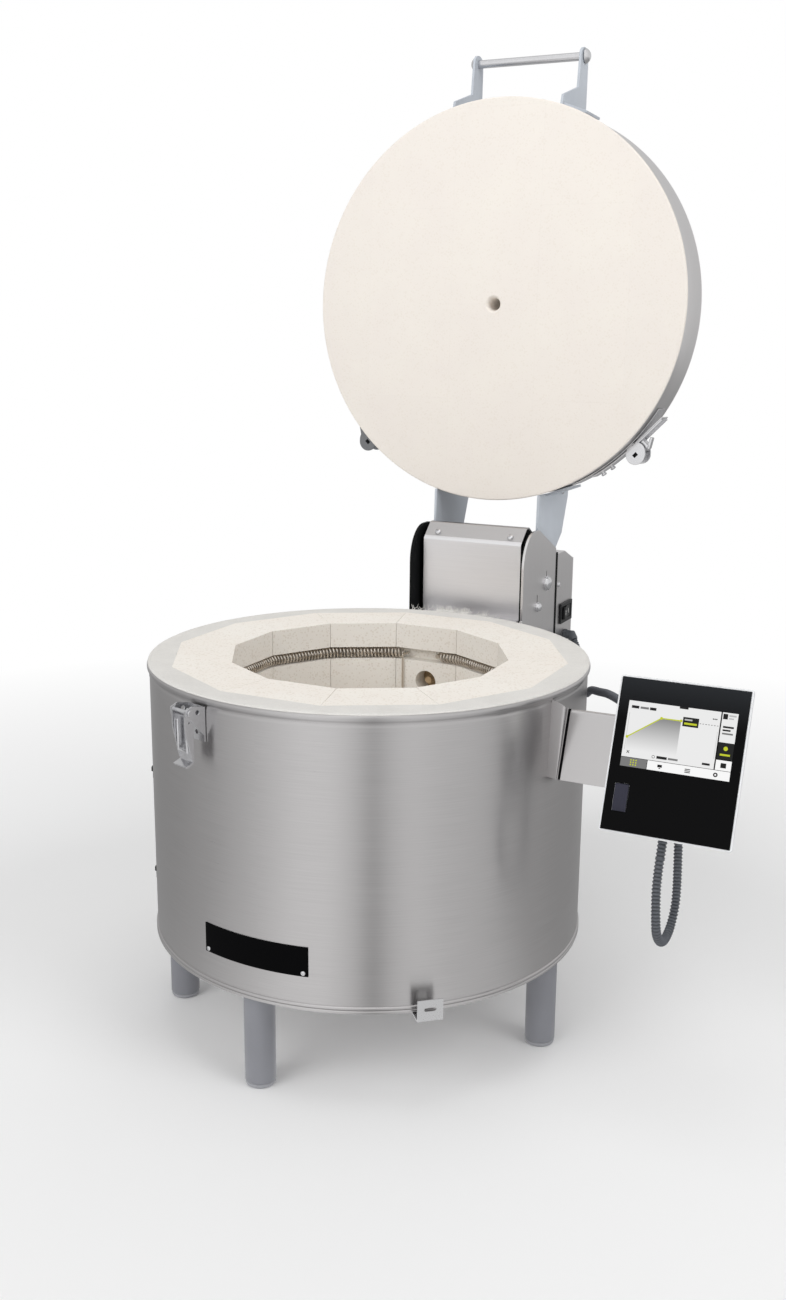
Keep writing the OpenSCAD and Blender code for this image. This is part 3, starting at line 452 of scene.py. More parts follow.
def brushed(name, code, direction, rough=0.3, contrast=0.6, aniso=0.0):
    # stainless steel sheet, brushed with a belt: fine straight hair lines, reflections smeared across them
    material, tree, surface = newMaterial(name, Metallic=1.0, Roughness=rough)
    ring = {"drum": (drumFoot, True), "lid": (lidOpen @ at(0, 0, 445), False)}.get(direction)
    place = ringCoordinates(tree, *ring) if ring else objectPlace(tree)
    fine, long = 1 / 0.0009, 1 / 0.065  # hair lines 65 mm long, drawn 0.9 mm wide so that they show
    straight = {"x": (long, fine, fine), "y": (fine, long, fine), "z": (fine, fine, long)}
    lines = addNode(tree, "Mapping", Vector=place, Scale=straight.get(direction, (long, 1.0, fine)))
    hair = noise(tree, lines.outputs[0], 1.0, 3.0, 0.6)
    broad = noise(tree, place, 0.09, 2.0)  # marks of handling, 90 mm wide
    dark, light = shades(code, 1 - 0.10 * contrast, 1 + 0.07 * contrast)
    gloss = calc(tree, "MULTIPLY_ADD", hair, 0.10, rough - 0.08)
    connect(material, surface, Base_Color=ramp(tree, hair, [(0.30, dark), (0.70, light)]),
            Roughness=calc(tree, "MULTIPLY_ADD", broad, 0.07, gloss),
            Normal=relief(tree, hair, 0.03 * contrast, 0.0004))
    if aniso:
        surface.inputs["Anisotropic"].default_value = aniso
        surface.inputs["Anisotropic Rotation"].default_value = 0.25  # across the hair lines
        around = {"direction_type": "RADIAL", "axis": "Z" if ring[1] else "Y"}
        connect(material, surface, Tangent=addNode(tree, "Tangent", around).outputs[0])
    return material


def porousBrick(name, pale, warm, poreShadeTone, pitShare, pitDepth, flecks, blocks=None):
    # insulating firebrick, fired and sawn: pale cream, chalky, open pores under 1 mm painted darker as the
    # shade in them, and a few darker specks
    material, tree, surface = newMaterial(name, Roughness=0.95, IOR=1.5, Specular_IOR_Level=0.2)
    place = objectPlace(tree)
    cloud = noise(tree, place, 0.075, 4.0, 0.6)
    grit = noise(tree, place, 0.0022, 3.0, 0.7)
    base = ramp(tree, cloud, [(0.30, tone(pale)), (0.70, tone(warm))])
    if blocks:  # sawn blocks, set upright round the middle one
        long, wide = 0.230, 0.114
        parts = split(tree, place)
        up = calc(tree, "ADD", parts[2], long / 2 - blocks[1])
        across = calc(tree, "ADD", parts[0], wide / 2 - blocks[0])
        laid = addNode(tree, "CombineXYZ", X=up, Y=across).outputs[0]
        joint = addNode(tree, "TexBrick", {"offset": 0.5, "squash": 1.0}, Vector=laid, Scale=1.0,
                        Mortar_Size=0.0008, Mortar_Smooth=0.6, Brick_Width=long, Row_Height=wide,
                        Color1=grey(1.0), Color2=grey(0.988), Mortar=grey(0.985)).outputs["Color"]
        base = blend(tree, 1.0, base, joint, "MULTIPLY")
    cells, rare = [addNode(tree, "TexVoronoi", {"feature": "F1"}, Vector=place, Scale=1 / size).outputs
                   for size in (0.0034, 0.034)]  # metres between pores and between specks
    hole = calc(tree, "MULTIPLY_ADD", noise(tree, place, 0.011, 2.0), -0.55, cells["Distance"])
    pits = ramp(tree, hole, [(0.0, grey(1.0)), (pitShare, grey(0.0))])
    pickOne = addNode(tree, "SeparateColor", Color=rare["Color"]).outputs[0]
    near = ramp(tree, rare["Distance"], [(0.020, grey(1.0)), (0.036, grey(0.0))])
    some = calc(tree, "MULTIPLY", calc(tree, "MULTIPLY", near, pickOne), flecks)
    shade = blend(tree, calc(tree, "MULTIPLY", pits, pitDepth), base, tone(poreShadeTone))
    height = calc(tree, "MULTIPLY_ADD", pits, -1.5, grit)
    return connect(material, surface, Base_Color=blend(tree, some, shade, tone("#8E8069")),
                   Normal=relief(tree, height, 0.2 * pitDepth + 0.06, 0.0009))


def coated(name, code, rough, peel, **shader):
    # powder paint or moulded plastic: even colour with a fine skin texture and slight handling marks
    material, tree, surface = newMaterial(name, Roughness=rough, **shader)
    place = objectPlace(tree)
    skin = noise(tree, place, peel * mm, 2.0)
    wide = noise(tree, place, 0.05, 3.0)
    dark, light = shades(code, 0.93, 1.05)
    return connect(material, surface, Base_Color=ramp(tree, wide, [(0.3, dark), (0.7, light)]),
                   Roughness=calc(tree, "MULTIPLY_ADD", wide, 0.12, rough - 0.06),
                   Normal=relief(tree, skin, 0.06, 0.0005))


def ribbed(name, crest, valleyShade, rough):
    # corrugated hose plastic: the valleys between the ribs are painted darker than their crests, as their
    # shade
    material, tree, surface = newMaterial(name, Roughness=rough)
    pointed = addNode(tree, "NewGeometry").outputs["Pointiness"]
    shade = ramp(tree, pointed, [(0.44, tone(valleyShade)), (0.56, tone(crest))])
    return connect(material, surface, Base_Color=shade)


def plated(name, code, rough):
    # bare metal, as zinc plate or heating wire: slightly cloudy over a few millimetres
    material, tree, surface = newMaterial(name, Metallic=1.0, Roughness=rough)
    cloud = noise(tree, objectPlace(tree), 0.007, 4.0)
    dark, light = shades(code, 0.96, 1.02)
    return connect(material, surface, Base_Color=ramp(tree, cloud, [(0.30, dark), (0.68, light)]),
                   Roughness=calc(tree, "MULTIPLY_ADD", cloud, 0.06, rough - 0.03))


def woolly(name, pale, dull):
    # ceramic fibre board: white, matted threads about a millimetre wide, felt-like
    material, tree, surface = newMaterial(name, Roughness=1.0, Specular_IOR_Level=0.1)
    place = objectPlace(tree)
    wave = noise(tree, place, 0.012, 2.0, output="Color")
    matted = noise(tree, blend(tree, 0.02, place, wave, "LINEAR_LIGHT"), 0.0024, 5.0, 0.7)
    both = calc(tree, "MULTIPLY_ADD", noise(tree, place, 0.03, 3.0), 0.5, matted)
    return connect(material, surface, Base_Color=ramp(tree, both, [(0.55, tone(dull)), (0.95, tone(pale))]),
                   Normal=relief(tree, matted, 0.45, 0.0012))


def controlHeight(tree, low, high):  # 0 to 1 between two heights on the controller's face, in millimetres
    lean = cos(radians(control["lean"]))
    start, end = [(control["z"] + height * lean) * mm for height in (low, high)]
    place = split(tree, objectPlace(tree))[2]
    return addNode(tree, "MapRange", Value=place, From_Min=start, From_Max=end).outputs[0]


def lit(name, code, topCode=None):  # a lit area of the display behind the glass, plain or fading upwards
    material, tree, surface = newMaterial(name, Base_Color=tone("#050505"), Roughness=0.2,
                                          Specular_IOR_Level=0.12, Emission_Color=tone(code),
                                          Emission_Strength=0.95)
    if topCode:
        fade = ramp(tree, controlHeight(tree, 4.5, 37.0), [(0.0, tone(code)), (1.0, tone(topCode))])
        connect(material, surface, Emission_Color=fade)
    return material


def smokedGlass(name, code, paintedReflectionTone):
    # toughened glass printed black from behind: glossy, with a painted reflection that greys it towards its
    # upper edge
    material, tree, surface = newMaterial(name, Roughness=0.10, Specular_IOR_Level=0.06)
    shade = ramp(tree, controlHeight(tree, 34.0, 73.0), [(0.0, tone(code)), (1.0, tone(paintedReflectionTone))])
    return connect(material, surface, Base_Color=shade)


finish = {
    "drumSteel": brushed("brushedDrumSteel", "#C2C0C0", "drum", rough=0.30, contrast=0.55, aniso=0.72),
    "lidSteel": brushed("brushedLidSteel", "#DEDCDC", "lid", rough=0.32, contrast=0.5, aniso=0.5),
    "sheetX": brushed("brushedSheetAcross", "#E0DEDE", "x", rough=0.34, contrast=0.28),
    "sheetZ": brushed("brushedSheetUpright", "#E2E0E0", "z", rough=0.34, contrast=0.28),
    "coverSteel": brushed("brushedCoverSheet", "#EDECEE", "x", rough=0.36, contrast=0.22),
    "sheetY": brushed("brushedSheetDeep", "#E0DEDD", "y", rough=0.34),
    "footSteel": brushed("mattSheetFoot", "#E4E2E2", "x", rough=0.60, contrast=0.2),
    "bracketSteel": brushed("smoothBracketSheet", "#C6C4C4", "x", rough=0.32, contrast=0.12),
    "slideSteel": brushed("bentTabSteel", "#CDCDCE", "x", rough=0.28, contrast=0.1),
    "lidBrick": porousBrick("lidFirebrick", "#F1EBE3", "#EFE8E1", "#DDD2C3", 0.03, 0.16, 0.10,
                            blocks=(drum["axisX"] * mm, 0.7787)),
    "wallBrick": porousBrick("wallFirebrick", "#F1EDE6", "#EEE8E0", "#D3C8B9", 0.06, 0.35, 0.15),
    "fibre": woolly("ceramicFibreBoard", "#E4E2DE", "#D9D7D3"),
    "armPaint": coated("greyArmPowderPaint", "#C4CAD2", 0.42, 1.6),
    "legPaint": coated("greyLegPowderPaint", "#87888E", 0.38, 1.4),
    "zinc": plated("brightZincPlate", "#DEDEE0", 0.24),
    # warm coil wire, its tone raised so the coil shows lit in its shaded grooves: painted light
    "wire": plated("heatDarkenedCoilWire", "#E0D8CE", 0.32),
    "ceramic": coated("glazedTerminalCeramic", "#ECE8DF", 0.35, 1.0),
    "blackPlastic": coated("blackMouldedPlastic", "#1C1D1F", 0.42, 0.8, Specular_IOR_Level=0.35),
    "portPlastic": coated("bluishPortPlastic", "#2B2B38", 0.45, 0.8, Specular_IOR_Level=0.25),
    "hose": ribbed("ribbedHosePlastic", "#5A5D63", "#1A1C1F", 0.45),
    "gland": coated("greyGlandPlastic", "#53565B", 0.45, 1.2),
    # a darker copy of the zinc plate: painted shade for the left tensioner
    "dullZinc": plated("dullZinc", "#8A8B8D", 0.45),
    "paleHousing": coated("paleMouldedHousing", "#EFF0F2", 0.40, 0.9),
    "glass": smokedGlass("blackControlGlass", "#060607", "#26282B"),
    "plateBlack": coated("blackAnodisedPlate", "#050506", 0.38, 1.0, Specular_IOR_Level=0.03),
    "footPlastic": coated("greyFootPlastic", "#A0A1A6", 0.5, 1.0),
    # the thermocouple's ceramic sheath, darkened to tan: painted shade of the hole it sits in
    "sensor": coated("tanSensorCeramic", "#B49A78", 0.6, 1.0),
    # near-black sheets set in gaps, slits, holes and recesses: painted shade where the light does not reach
    "gapLining": coated("darkGapLining", "#121314", 0.7, 1.0, Specular_IOR_Level=0.1),
    "print": coated("whiteSwitchPrint", "#E8E8E6", 0.5, 1.0),
    **{"display" + name: lit("display" + name + "Area", code)
       for name, code in (("Pale", "#EFEFEF"), ("White", "#FCFCFC"), ("Soft", "#BDBDBD"), ("Grey", "#7C7C7C"),
                          ("Dark", "#1D1D1D"))},
    "displayCurve": lit("displayCurveGreen", "#C6CF2E"),
    "displayFade": lit("displayFadingArea", "#EFEFEF", "#8E8E8E"),
}
slotFinish = {
    "stainless_sheet": "sheetZ", "zinc_steel": "zinc", "arm_paint": "armPaint", "leg_paint": "legPaint",
    "foot_plastic": "footPlastic", "firebrick": "wallBrick", "fibre": "fibre", "element_wire": "wire",
    "white_ceramic": "ceramic", "black_plastic": "blackPlastic", "pale_plastic": "paleHousing",
    "black_glass": "glass", "plate_black": "plateBlack", "hose_grey": "hose",
}
for node, item in nodes.items():  # every CAD node that stays shown has a finish too
    item.data.materials.clear()
    item.data.materials.append(finish[slotFinish[slotOf[node]]])
print("finishes made:", len(finish))

hose = {
    "width": 9.2, "groove": 1.3, "pitch": 3.6, "depths": (1.0, 0.45, 0.0, 0.45), "sides": 14,
    "sleeve": 30.0, "sleeveFrom": (-3.5, 14.0, -64.0), "sleeveOver": 0.15,
    "route": [
        (93.4, 414.8, 345.7), (97.4, 411.1, 341.4), (102.8, 403.5, 334.6), (107.5, 391, 328),
        (113.5, 375, 322.3), (122.5, 354, 317.6), (134.5, 325, 315), (151, 284, 316), (170, 238, 325.5),
        (187, 195, 341), (203, 156, 354), (224, 114, 365), (248, 73, 375), (275, 36, 378), (304, 7, 372),
        (330, -11, 353), (346, -20, 323), (353, -25, 286), (355, -27, 250), (356, -28, 213),
        (356, -32.8, 195), (356, -46, 181.8), (356, -64, 177), (356, -82, 181.8), (355.5, -95.2, 195),
        (355, -100, 213), (354, -100, 240), (354, -96.7, 260.2), (354, -92.4, 271.4)],
}
perRib = len(hose["depths"])  # rings of corners from one rib to the next
ringGap = hose["pitch"] / perRib
hoseLine, hoseLength = through([at(*point) for point in hose["route"]], ringGap * mm)
ribs = [hose["width"] / 2 * mm - hose["groove"] * mm * depth for depth in hose["depths"]]
controlHose = tube("controlHose", hoseLine, [ribs[i % perRib] for i in range(len(hoseLine))], hose["sides"])
standFor(controlHose, "hose", "control_hose")
rings = range(round(hose["sleeve"] / ringGap))
sleeveLine = [controlMove @ ((Vector(hose["sleeveFrom"]) - Vector((0, 0, ringGap * k))) * mm) for k in rings]
sleeveRadii = [ribs[k % perRib] + hose["sleeveOver"] * mm for k in rings]
hoseSleeve = tube("hoseSleeve", sleeveLine, sleeveRadii, hose["sides"])
fit(hoseSleeve, "hose", "kiln", "hose_grey", "controller_gland")
print("hose laid:", round(hoseLength, 3), "m")

rim = {"middle": 233.6, "height": 402.9, "roll": 3.9, "curl": (82, -38, 20), "bendFrom": 5.0,
       "lip": (1.2, 1.6), "row": 396.6,  # the groove's points count out from the wall and up from its row
       "groove": [(0.8, 2.8), (0, 1.9), (-0.55, 0.9), (-0.55, -0.6), (-0.2, -2.0), (0, -3.2)]}
wall, inside = drum["radius"], drum["radius"] - drum["wall"]
reach = degrees(acos((wall - drum["beadCentre"]) / drum["bead"]))  # where a bead meets the wall
profile = [(inside, drum["low"]), (inside, rim["height"] - rim["bendFrom"]),
           (rim["middle"] - rim["lip"][0], rim["height"] + rim["lip"][1])]
profile += arc((rim["middle"], rim["height"]), rim["roll"], *rim["curl"])  # the curl that shows
profile += [(wall + out, rim["row"] + up) for out, up in rim["groove"]]
for height in reversed(drum["beadRows"]):
    profile += arc((drum["beadCentre"], height), drum["bead"], reach, -reach, 16)
profile += [(wall, drum["low"])]
drumJacket = turn("drumJacket", profile, drum["steps"], drumFoot)
standFor(drumJacket, "drumSteel", "drum_jacket")
print("drum jacket turned")

refined = {  # CAD shapes with worked edges: edge radius in mm, steps, finish
    "seam_strip": (0.25, 1, "drumSteel"), "seam_clips": (0.5, 2, "blackPlastic"),
    "wall_bricks": (0.15, 1, "wallBrick"), "floor_brick": (0.8, 2, "wallBrick"),
    "slide_guides": (0.3, 1, "sheetY"), "air_slide": (0.35, 2, "slideSteel"),
    "latch_base": (0.35, 2, "zinc"), "latch_pin": (0.3, 2, "zinc"), "latch_lever": (0.4, 2, "zinc"),
    "latch_bail": (0.0, 0, "zinc"),
    "hinge_plate_left": (0.5, 2, "sheetZ"), "hinge_plate_right": (0.5, 2, "sheetZ"),
    "hinge_crossbar": (0.4, 2, "sheetX"), "pivot_bolts": (0.5, 2, "zinc"), "stop_bolts": (0.5, 2, "zinc"),
    "lid_arm_left": (0.5, 2, "armPaint"), "lid_arm_right": (0.5, 2, "armPaint"),
    "handle_caps": (0.3, 2, "zinc"), "switchgear_housing": (0.9, 3, "sheetZ"),
    "rear_cover": (0.4, 2, "sheetX"),
    "switch_frame": (0.7, 2, "blackPlastic"), "switch_rocker": (0.6, 3, "blackPlastic"),
    "box_gland": (0.3, 1, "gland"), "mains_gland": (0.4, 2, "blackPlastic"),
    "bracket_bolts": (0.3, 2, "zinc"),
    "controller_glass": (0.5, 2, "glass"), "port_cover": (0.5, 2, "portPlastic"),
    "name_plate": (0.25, 1, "plateBlack"),
    "terminal_bushings": (0.4, 2, "ceramic"), "thermocouple": (0.3, 1, "sensor"),
    "element_jumpers": (0.0, 0, "wire"), "element_terminals": (0.0, 0, "wire"),
    "floor_pan": (0.2, 1, "sheetX"),
}
armEnd = {"y": -299.0, "z": 499.9, "bore": 8.0, "short": 0.58, "flat": 0.77}  # at the handle rod, lid closed
plateTop = {"foot": 392.0, "drawnFrom": 300.0, "drawnTo": 0.832, "slopeAt": (0, 312, 506),
            "slope": (0, 0.434, 0.901)}


def plainName(node):  # hinge_plate_left to hingePlateLeft
    first, *rest = node.split("_")
    return first + "".join(word.capitalize() for word in rest)


def endTaper(piece):  # the arm's end round the handle rod is slimmer and flatter than its bar
    toOpen = lidOpen @ drumMove
    toClosed = toOpen.inverted()
    for corner in piece.data.vertices:
        local = toClosed @ corner.co / mm
        y, z = local.y - armEnd["y"], local.z - armEnd["z"]
        if y < 1 and hypot(y, z) > armEnd["bore"]:
            local.y = armEnd["y"] + y * (armEnd["short"] if y < 0 else 1)
            local.z = armEnd["z"] + z * armEnd["flat"]
            corner.co = toOpen @ (local * mm)


def drawnIn(y):  # the hinge plates' front edge stands 8 mm further back than their blank
    start = plateTop["drawnFrom"]
    return y if y > start else start - (start - y) * plateTop["drawnTo"]


def slopeTop(piece):  # the hinge plate's top falls off to the back, like the cover
    for corner in piece.data.vertices:
        if corner.co.z > plateTop["foot"] * mm:  # the foot below stays on the drum
            corner.co.y = (drawnIn(corner.co.y / mm - drum["axisY"]) + drum["axisY"]) * mm
    editAll(piece)
    edit.bisect(plane_co=at(*plateTop["slopeAt"]), plane_no=plateTop["slope"], use_fill=True,
                clear_outer=True)
    done()


reworked = {"lid_arm_left": endTaper, "lid_arm_right": endTaper,
            "hinge_plate_left": slopeTop, "hinge_plate_right": slopeTop}
madeFrom = {}
for node, (edge, steps, look) in refined.items():
    piece = copyNode(node, plainName(node))
    if node in reworked:
        reworked[node](piece)
    if edge:
        softEdges(piece, edge, steps)
    else:
        smooth(piece, 50)
    madeFrom[node] = standFor(piece, look, node)
print("worked CAD shapes:", len(madeFrom))

housing = {"half": (63.0, 75.0), "round": 3.0, "front": 1.3, "rimDeep": 6.5, "rimEdge": 0.8, "step": 1.2,
           "back": 28.0, "draft": 7.5, "edge": 1.4, "overlap": 0.2, "port": (-46.0, -41.75),
           "pocket": (6.7, 13.7), "pocketThick": 0.06, "socket": (2.6, 6.6), "socketRound": 1.0,
           "socketThick": 0.12, "socketOut": 0.04}
rimLine = softBox(housing["half"], housing["round"])
housingRim = plate("housingRim", rimLine, housing["rimDeep"] - housing["front"],
                   raised(controlFace, -housing["rimDeep"]), housing["rimEdge"])
inner = [half - housing["step"] for half in housing["half"]]
bodyDeep = housing["back"] - housing["rimDeep"] + housing["overlap"]  # reaches a little into the rim
housingBody = plate("housingBody", softBox(inner, housing["round"]), bodyDeep, Matrix.Identity(4), 0)
for corner in housingBody.data.vertices:  # the moulding draws in towards its back
    if corner.co.z < 1 * mm:
        corner.co.x *= 1 - housing["draft"] / inner[0]
        corner.co.y *= 1 - housing["draft"] / inner[1]
place(housingBody, raised(controlFace, -housing["back"]))
softEdges(housingBody, housing["edge"], 3)
standFor(joined("controllerHousing", [housingRim, housingBody]), "paleHousing", "controller_housing")
portMove = raised(controlFace @ Matrix.Translation(Vector((*housing["port"], 0)) * mm), -housing["front"])
wide, tall = housing["pocket"]
# a near-black sheet in the port's opening: painted shade of the recess behind the port cover
pocket = plate("portPocket", box((-wide, -tall), (wide, tall)), housing["pocketThick"], portMove, 0)
fit(pocket, "gapLining", "kiln", "pale_plastic")
socket = plate("portSocket", softBox(housing["socket"], housing["socketRound"]), housing["socketThick"],
               raised(portMove, housing["socketOut"]), 0)
fit(socket, "footSteel", "kiln", "pale_plastic")

leg = {"ring": 211.0, "places": (-65, -4, 89, 150, -137.5), "steps": 64}
legLine = [(0, 5.0), (15.0, 5.0), (16.0, 6.0), (16.0, 107.0), (0, 107.0)]
footLine = [(0, 0), (13.0, 0), (14.6, 0.8), (15.4, 2.2), (15.4, 4.6), (14.6, 5.2), (0, 5.2)]
for name, line, look, node in (("supportLegs", legLine, "legPaint", "legs"),
                               ("legFeet", footLine, "footPlastic", "leg_feet")):
    pattern = turn("legPattern", line, leg["steps"], closed=False)
    copies = [copyOf(pattern, Matrix.Translation(onRing(leg["ring"], az))) for az in leg["places"]]
    bpy.data.objects.remove(pattern)
    standFor(joined(name, copies), look, node)
print("legs placed:", len(leg["places"]))

lining = {"high": 408.0, "steps": 256,
          "line": [(207.2, 128), (232.4, 128), (232.4, 405), (235.4, 405.6), (236.3, 405.9), (236.6, 406.5),
                   (236.2, 407.2), (235.2, 407.75), (231.8, 408), (218.4, 407.9), (207.2, 408)]}
fibreRing = turn("fibreRing", lining["line"], lining["steps"], drumFoot)
standFor(fibreRing, "fibre", "backup_insulation")
frays = {"tufts": ((184, 2.6, 60), (178, 1.8, 34), (180, 14, 50)), "root": 233.0, "clear": 242.2, "out": 5.0,
         "rise": 6.0, "lean": 1.4, "thick": 0.3, "thinner": (1, 1, 1, 0.9, 0.7, 0.5), "sides": 4, "seed": 11}
radii = [frays["thick"] * mm * share for share in frays["thinner"]]
dice = random.Random(frays["seed"])
strands = []
for middle, spread, count in frays["tufts"]:  # loose threads that stand out over the back rim
    for k in range(count):
        az = middle + dice.uniform(-spread, spread)
        out = dice.uniform(0, frays["out"])
        rise = dice.uniform(0.5, frays["rise"])
        lean = dice.uniform(-frays["lean"], frays["lean"])
        path = [onRing(frays["root"], az, lining["high"] - 0.1),  # flat under the closed lid, then up
                onRing(frays["clear"] - 2, az + lean * 0.3, lining["high"] + 0.05)]
        for t in (0, 0.4, 0.7, 1):
            up = lining["high"] + 0.1 + rise * t * t
            path.append(onRing(frays["clear"] + out * t, az + lean * (0.4 + 0.6 * t), up))
        strands.append(tube("fibreStrand", path, radii, frays["sides"]))
fit(joined("fibreFrays", strands), "fibre", "kiln", "fibre")

coil = {"apothem": 151.6, "corner": 1.018, "width": 13.2, "wire": 2.1, "curls": 215, "each": 14, "sides": 6,
        "start": 18.0, "end": -34.0, "rows": {"upper": 372.0, "middle": 310.0, "lower": 248.0}}
a0 = atan2(coil["start"], coil["apothem"])  # from the back facet, round by the front
a1 = 2 * pi + atan2(coil["end"], coil["apothem"])
count = coil["curls"] * coil["each"]
curl = (coil["width"] - coil["wire"]) / 2
for row, height in coil["rows"].items():
    line = []
    for i in range(count + 1):
        angle = a0 + (a1 - a0) * i / count
        facet = (angle + pi / 12) % (pi / 6) - pi / 12  # the chamber has twelve sides
        phase = 2 * pi * i / coil["each"]
        far = coil["apothem"] * min(1 / cos(facet), coil["corner"]) + curl * cos(phase)
        line.append(at(far * sin(angle), far * cos(angle), height + curl * sin(phase)))
    piece = tube("heatingCoil" + row.capitalize(), line, [coil["wire"] / 2 * mm] * len(line), coil["sides"])
    standFor(piece, "wire", "element_" + row)
print("lining and heating coils done")

lid = {
    "lip": 240.9, "face": 408.4, "edge": 2.2, "steps": 288,
    "brick": [(240.9, 412.2), (238.5, 412.3), (238.5, 481.2), (7.5, 481.2), (7.5, 413.4), (8.3, 411.0),
              (9.7, 409.0)],
    "band": [(238.7, 412.5), (240.3, 412.4), (240.8, 412.9), (240.8, 414.3), (240.3, 414.9), (240.05, 415.6),
             (240.0, 416.4), (240.0, 480.2), (239.7, 481.0), (238.7, 481.2)],
    "cover": [(7.5, 481.4), (239.4, 481.4), (240.0, 481.6), (240.0, 482.0), (239.5, 482.4), (7.5, 482.4)],
}
bend = (lid["lip"] - lid["edge"], lid["face"] + lid["edge"])  # middle of the brick's rounded edge
brickLine = [(10.5, lid["face"]), (bend[0], lid["face"])] + arc(bend, lid["edge"], -70, 0, 5) + lid["brick"]
for name, line, look, node in (("lidBrick", brickLine, "lidBrick", "lid_brick"),
                               ("lidBand", lid["band"], "lidSteel", "lid_band"),
                               ("lidCover", lid["cover"], "sheetX", "lid_cover")):
    piece = turn(name, line, lid["steps"], drumFoot)
    piece.data.transform(lidOpen)
    standFor(piece, look, node)

low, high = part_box("handle_rod")
handle = {"radius": (high.z - low.z) / 2 / mm, "length": (high.x - low.x) / mm, "edge": 0.5, "steps": 64}
radius, length, edge = handle["radius"], handle["length"], handle["edge"]
profile = [(0, 0), (radius - edge, 0), (radius, edge), (radius, length - edge), (radius - edge, length),
           (0, length)]
handleRod = turn("handleRod", profile, handle["steps"],
                 Vector((low.x, (low.y + high.y) / 2, (low.z + high.z) / 2)), "X", closed=False)
standFor(handleRod, "zinc", "handle_rod")

tension = {"az": 134.0, "middle": 447.4, "axle": 254.5, "disc": 12.0, "strap": 15.0, "strapOut": 241.3,
           "tail": 10.0, "tailOut": 243.6, "studs": (8.0, 11.2)}


def tensioner(side):  # ratchet on the lid band: strap, flat plate, two cheeks, pawl, tail and two studs
    turned = spun(tension["az"], "Z")
    mirrored = Matrix.Diagonal((side, 1, 1, 1))
    move = raised(lidOpen @ drumMove @ mirrored @ turned, tension["middle"])

    def slab(outline, z0, z1, edge=0.3):
        return plate("slab", outline, z1 - z0, raised(move, z0), edge)

    strapLine = [polar(tension["strapOut"], a) for a in range(-14, 21, 2)]
    tailLine = [polar(tension["tailOut"], a) for a in range(1, 15)]
    axle = -tension["axle"]
    egg = []
    for k in range(40):
        a = 2 * pi * k / 40
        r = tension["disc"] * (1 + 0.30 * max(0.0, cos(a - radians(150))) ** 3)
        egg.append((r * cos(a), axle + r * sin(a)))
    rib = box((-52, -246.6), (-9, -244.7))
    pawl = [(-26, -250), (-14, -256.5), (-12, -259), (-16, -259.6), (-27.5, -252.6)]
    slabs = [(box((-54, -244.8), (-3, -243.2)), -14, 14), (rib, -13.4, -11), (rib, 11, 13.4),
             (egg, -14, -11.5, 0.5), (egg, 11.5, 14, 0.5), (disc(0, axle, 5, 24), -12, 12),
             (box((-18, -257), (-7, -244.5)), -8, 8, 0.9), (pawl, -5, 5, 0.6),
             (box((-5, -254), (5, -240.6)), -8, 8)]
    parts = [bentSheet("strap", strapLine, -tension["strap"], tension["strap"], 1.2, lying(move))]
    parts += [slab(*item) for item in slabs]
    parts.append(bentSheet("tail", tailLine, -tension["tail"], tension["tail"], 1.6, lying(move)))
    for a in tension["studs"]:
        stud = turn("stud", [(0, 0), (2.6, 0), (2.6, 2.4), (3.4, 2.8), (3.4, 4.2), (2.8, 4.9), (0, 5.2)], 24,
                    Vector((0, -243.8, 0)) * mm, "-Y", closed=False)
        place(stud, move @ spun(a, "Z"))
        parts.append(stud)
    # the left tensioner takes the darker zinc copy: painted shade, as it stands in the lid's shadow
    name, look = ("Right", "zinc") if side > 0 else ("Left", "dullZinc")
    standFor(joined("bandTensioner" + name, parts), look, "band_tensioner_" + name.lower())
    # near-black patches on the cheeks stand for the spindle's square holes: painted shade of the holes
    hole = box((-3, axle - 2.2), (3, axle + 2.2))
    slots = [slab(hole, 13.9, 14.12, 0), slab(hole, -14.12, -13.9, 0)]
    fit(joined("spindleSlots" + name, slots), "gapLining", "lid", "zinc_steel")


tensioner(1)
tensioner(-1)
print("lid, handle and band tensioners done")

cover = {"half": 65.8, "bend": 3.4, "sheet": 1.5,
         "front": [(278.7, 396.5), (278.7, 490.6), (282.0, 493.65)],
         "top": [(282.0, 493.65), (298.3, 508.7), (305.8, 508.7), (367.6, 469.3)],
         "foot": [(237.2, 395.75), (278.9, 395.75)],
         "ends": [(280.4, 397), (280.4, 489.6), (299, 506.8), (305, 506.8), (366, 468), (366, 397)],
         "endsAt": (64.2, -65.2), "endSheet": 1.0}
# one folded cover sheet: the front takes a lighter steel and the sloped top the darker bracket steel, lit and
# shaded copies of one sheet: painted light and painted shade
for name, side, look, *node in (("hingeCover", "front", "coverSteel", "hinge_cover"),
                                ("coverTop", "top", "bracketSteel"), ("coverFoot", "foot", "footSteel")):
    line = rounded(cover[side], cover["bend"])
    piece = bentSheet(name, line, -cover["half"], cover["half"], cover["sheet"], drumMove)
    fit(piece, look, "kiln", "stainless_sheet", *node)
# near-black sheets close the cover's ends: painted shade of the dark gaps beside the cover
coverEnds = [plate("coverEnd", cover["ends"], cover["endSheet"], upright(drumMove, x), 0)
             for x in cover["endsAt"]]
fit(joined("coverEnds", coverEnds), "gapLining", "kiln", "stainless_sheet")
# near-black sheets inside the hinge plates and along the left plate's edge: painted shade of the plates' dark
# inner faces and edge
hingePlateShade = {"low": 396.5, "high": 504.8, "front": 254.0, "back": 377.0, "backHigh": 473.3, "slopeFrom": 311.4,
         "round": 42.7,  # then how far each sheet grows, its thickness, x and edge
         "sheets": {"plateLiner": (0.6, 2.0, 71.9, 0.2), "edgeTrim": (1.8, 4.6, -76.6, 0.4)}}


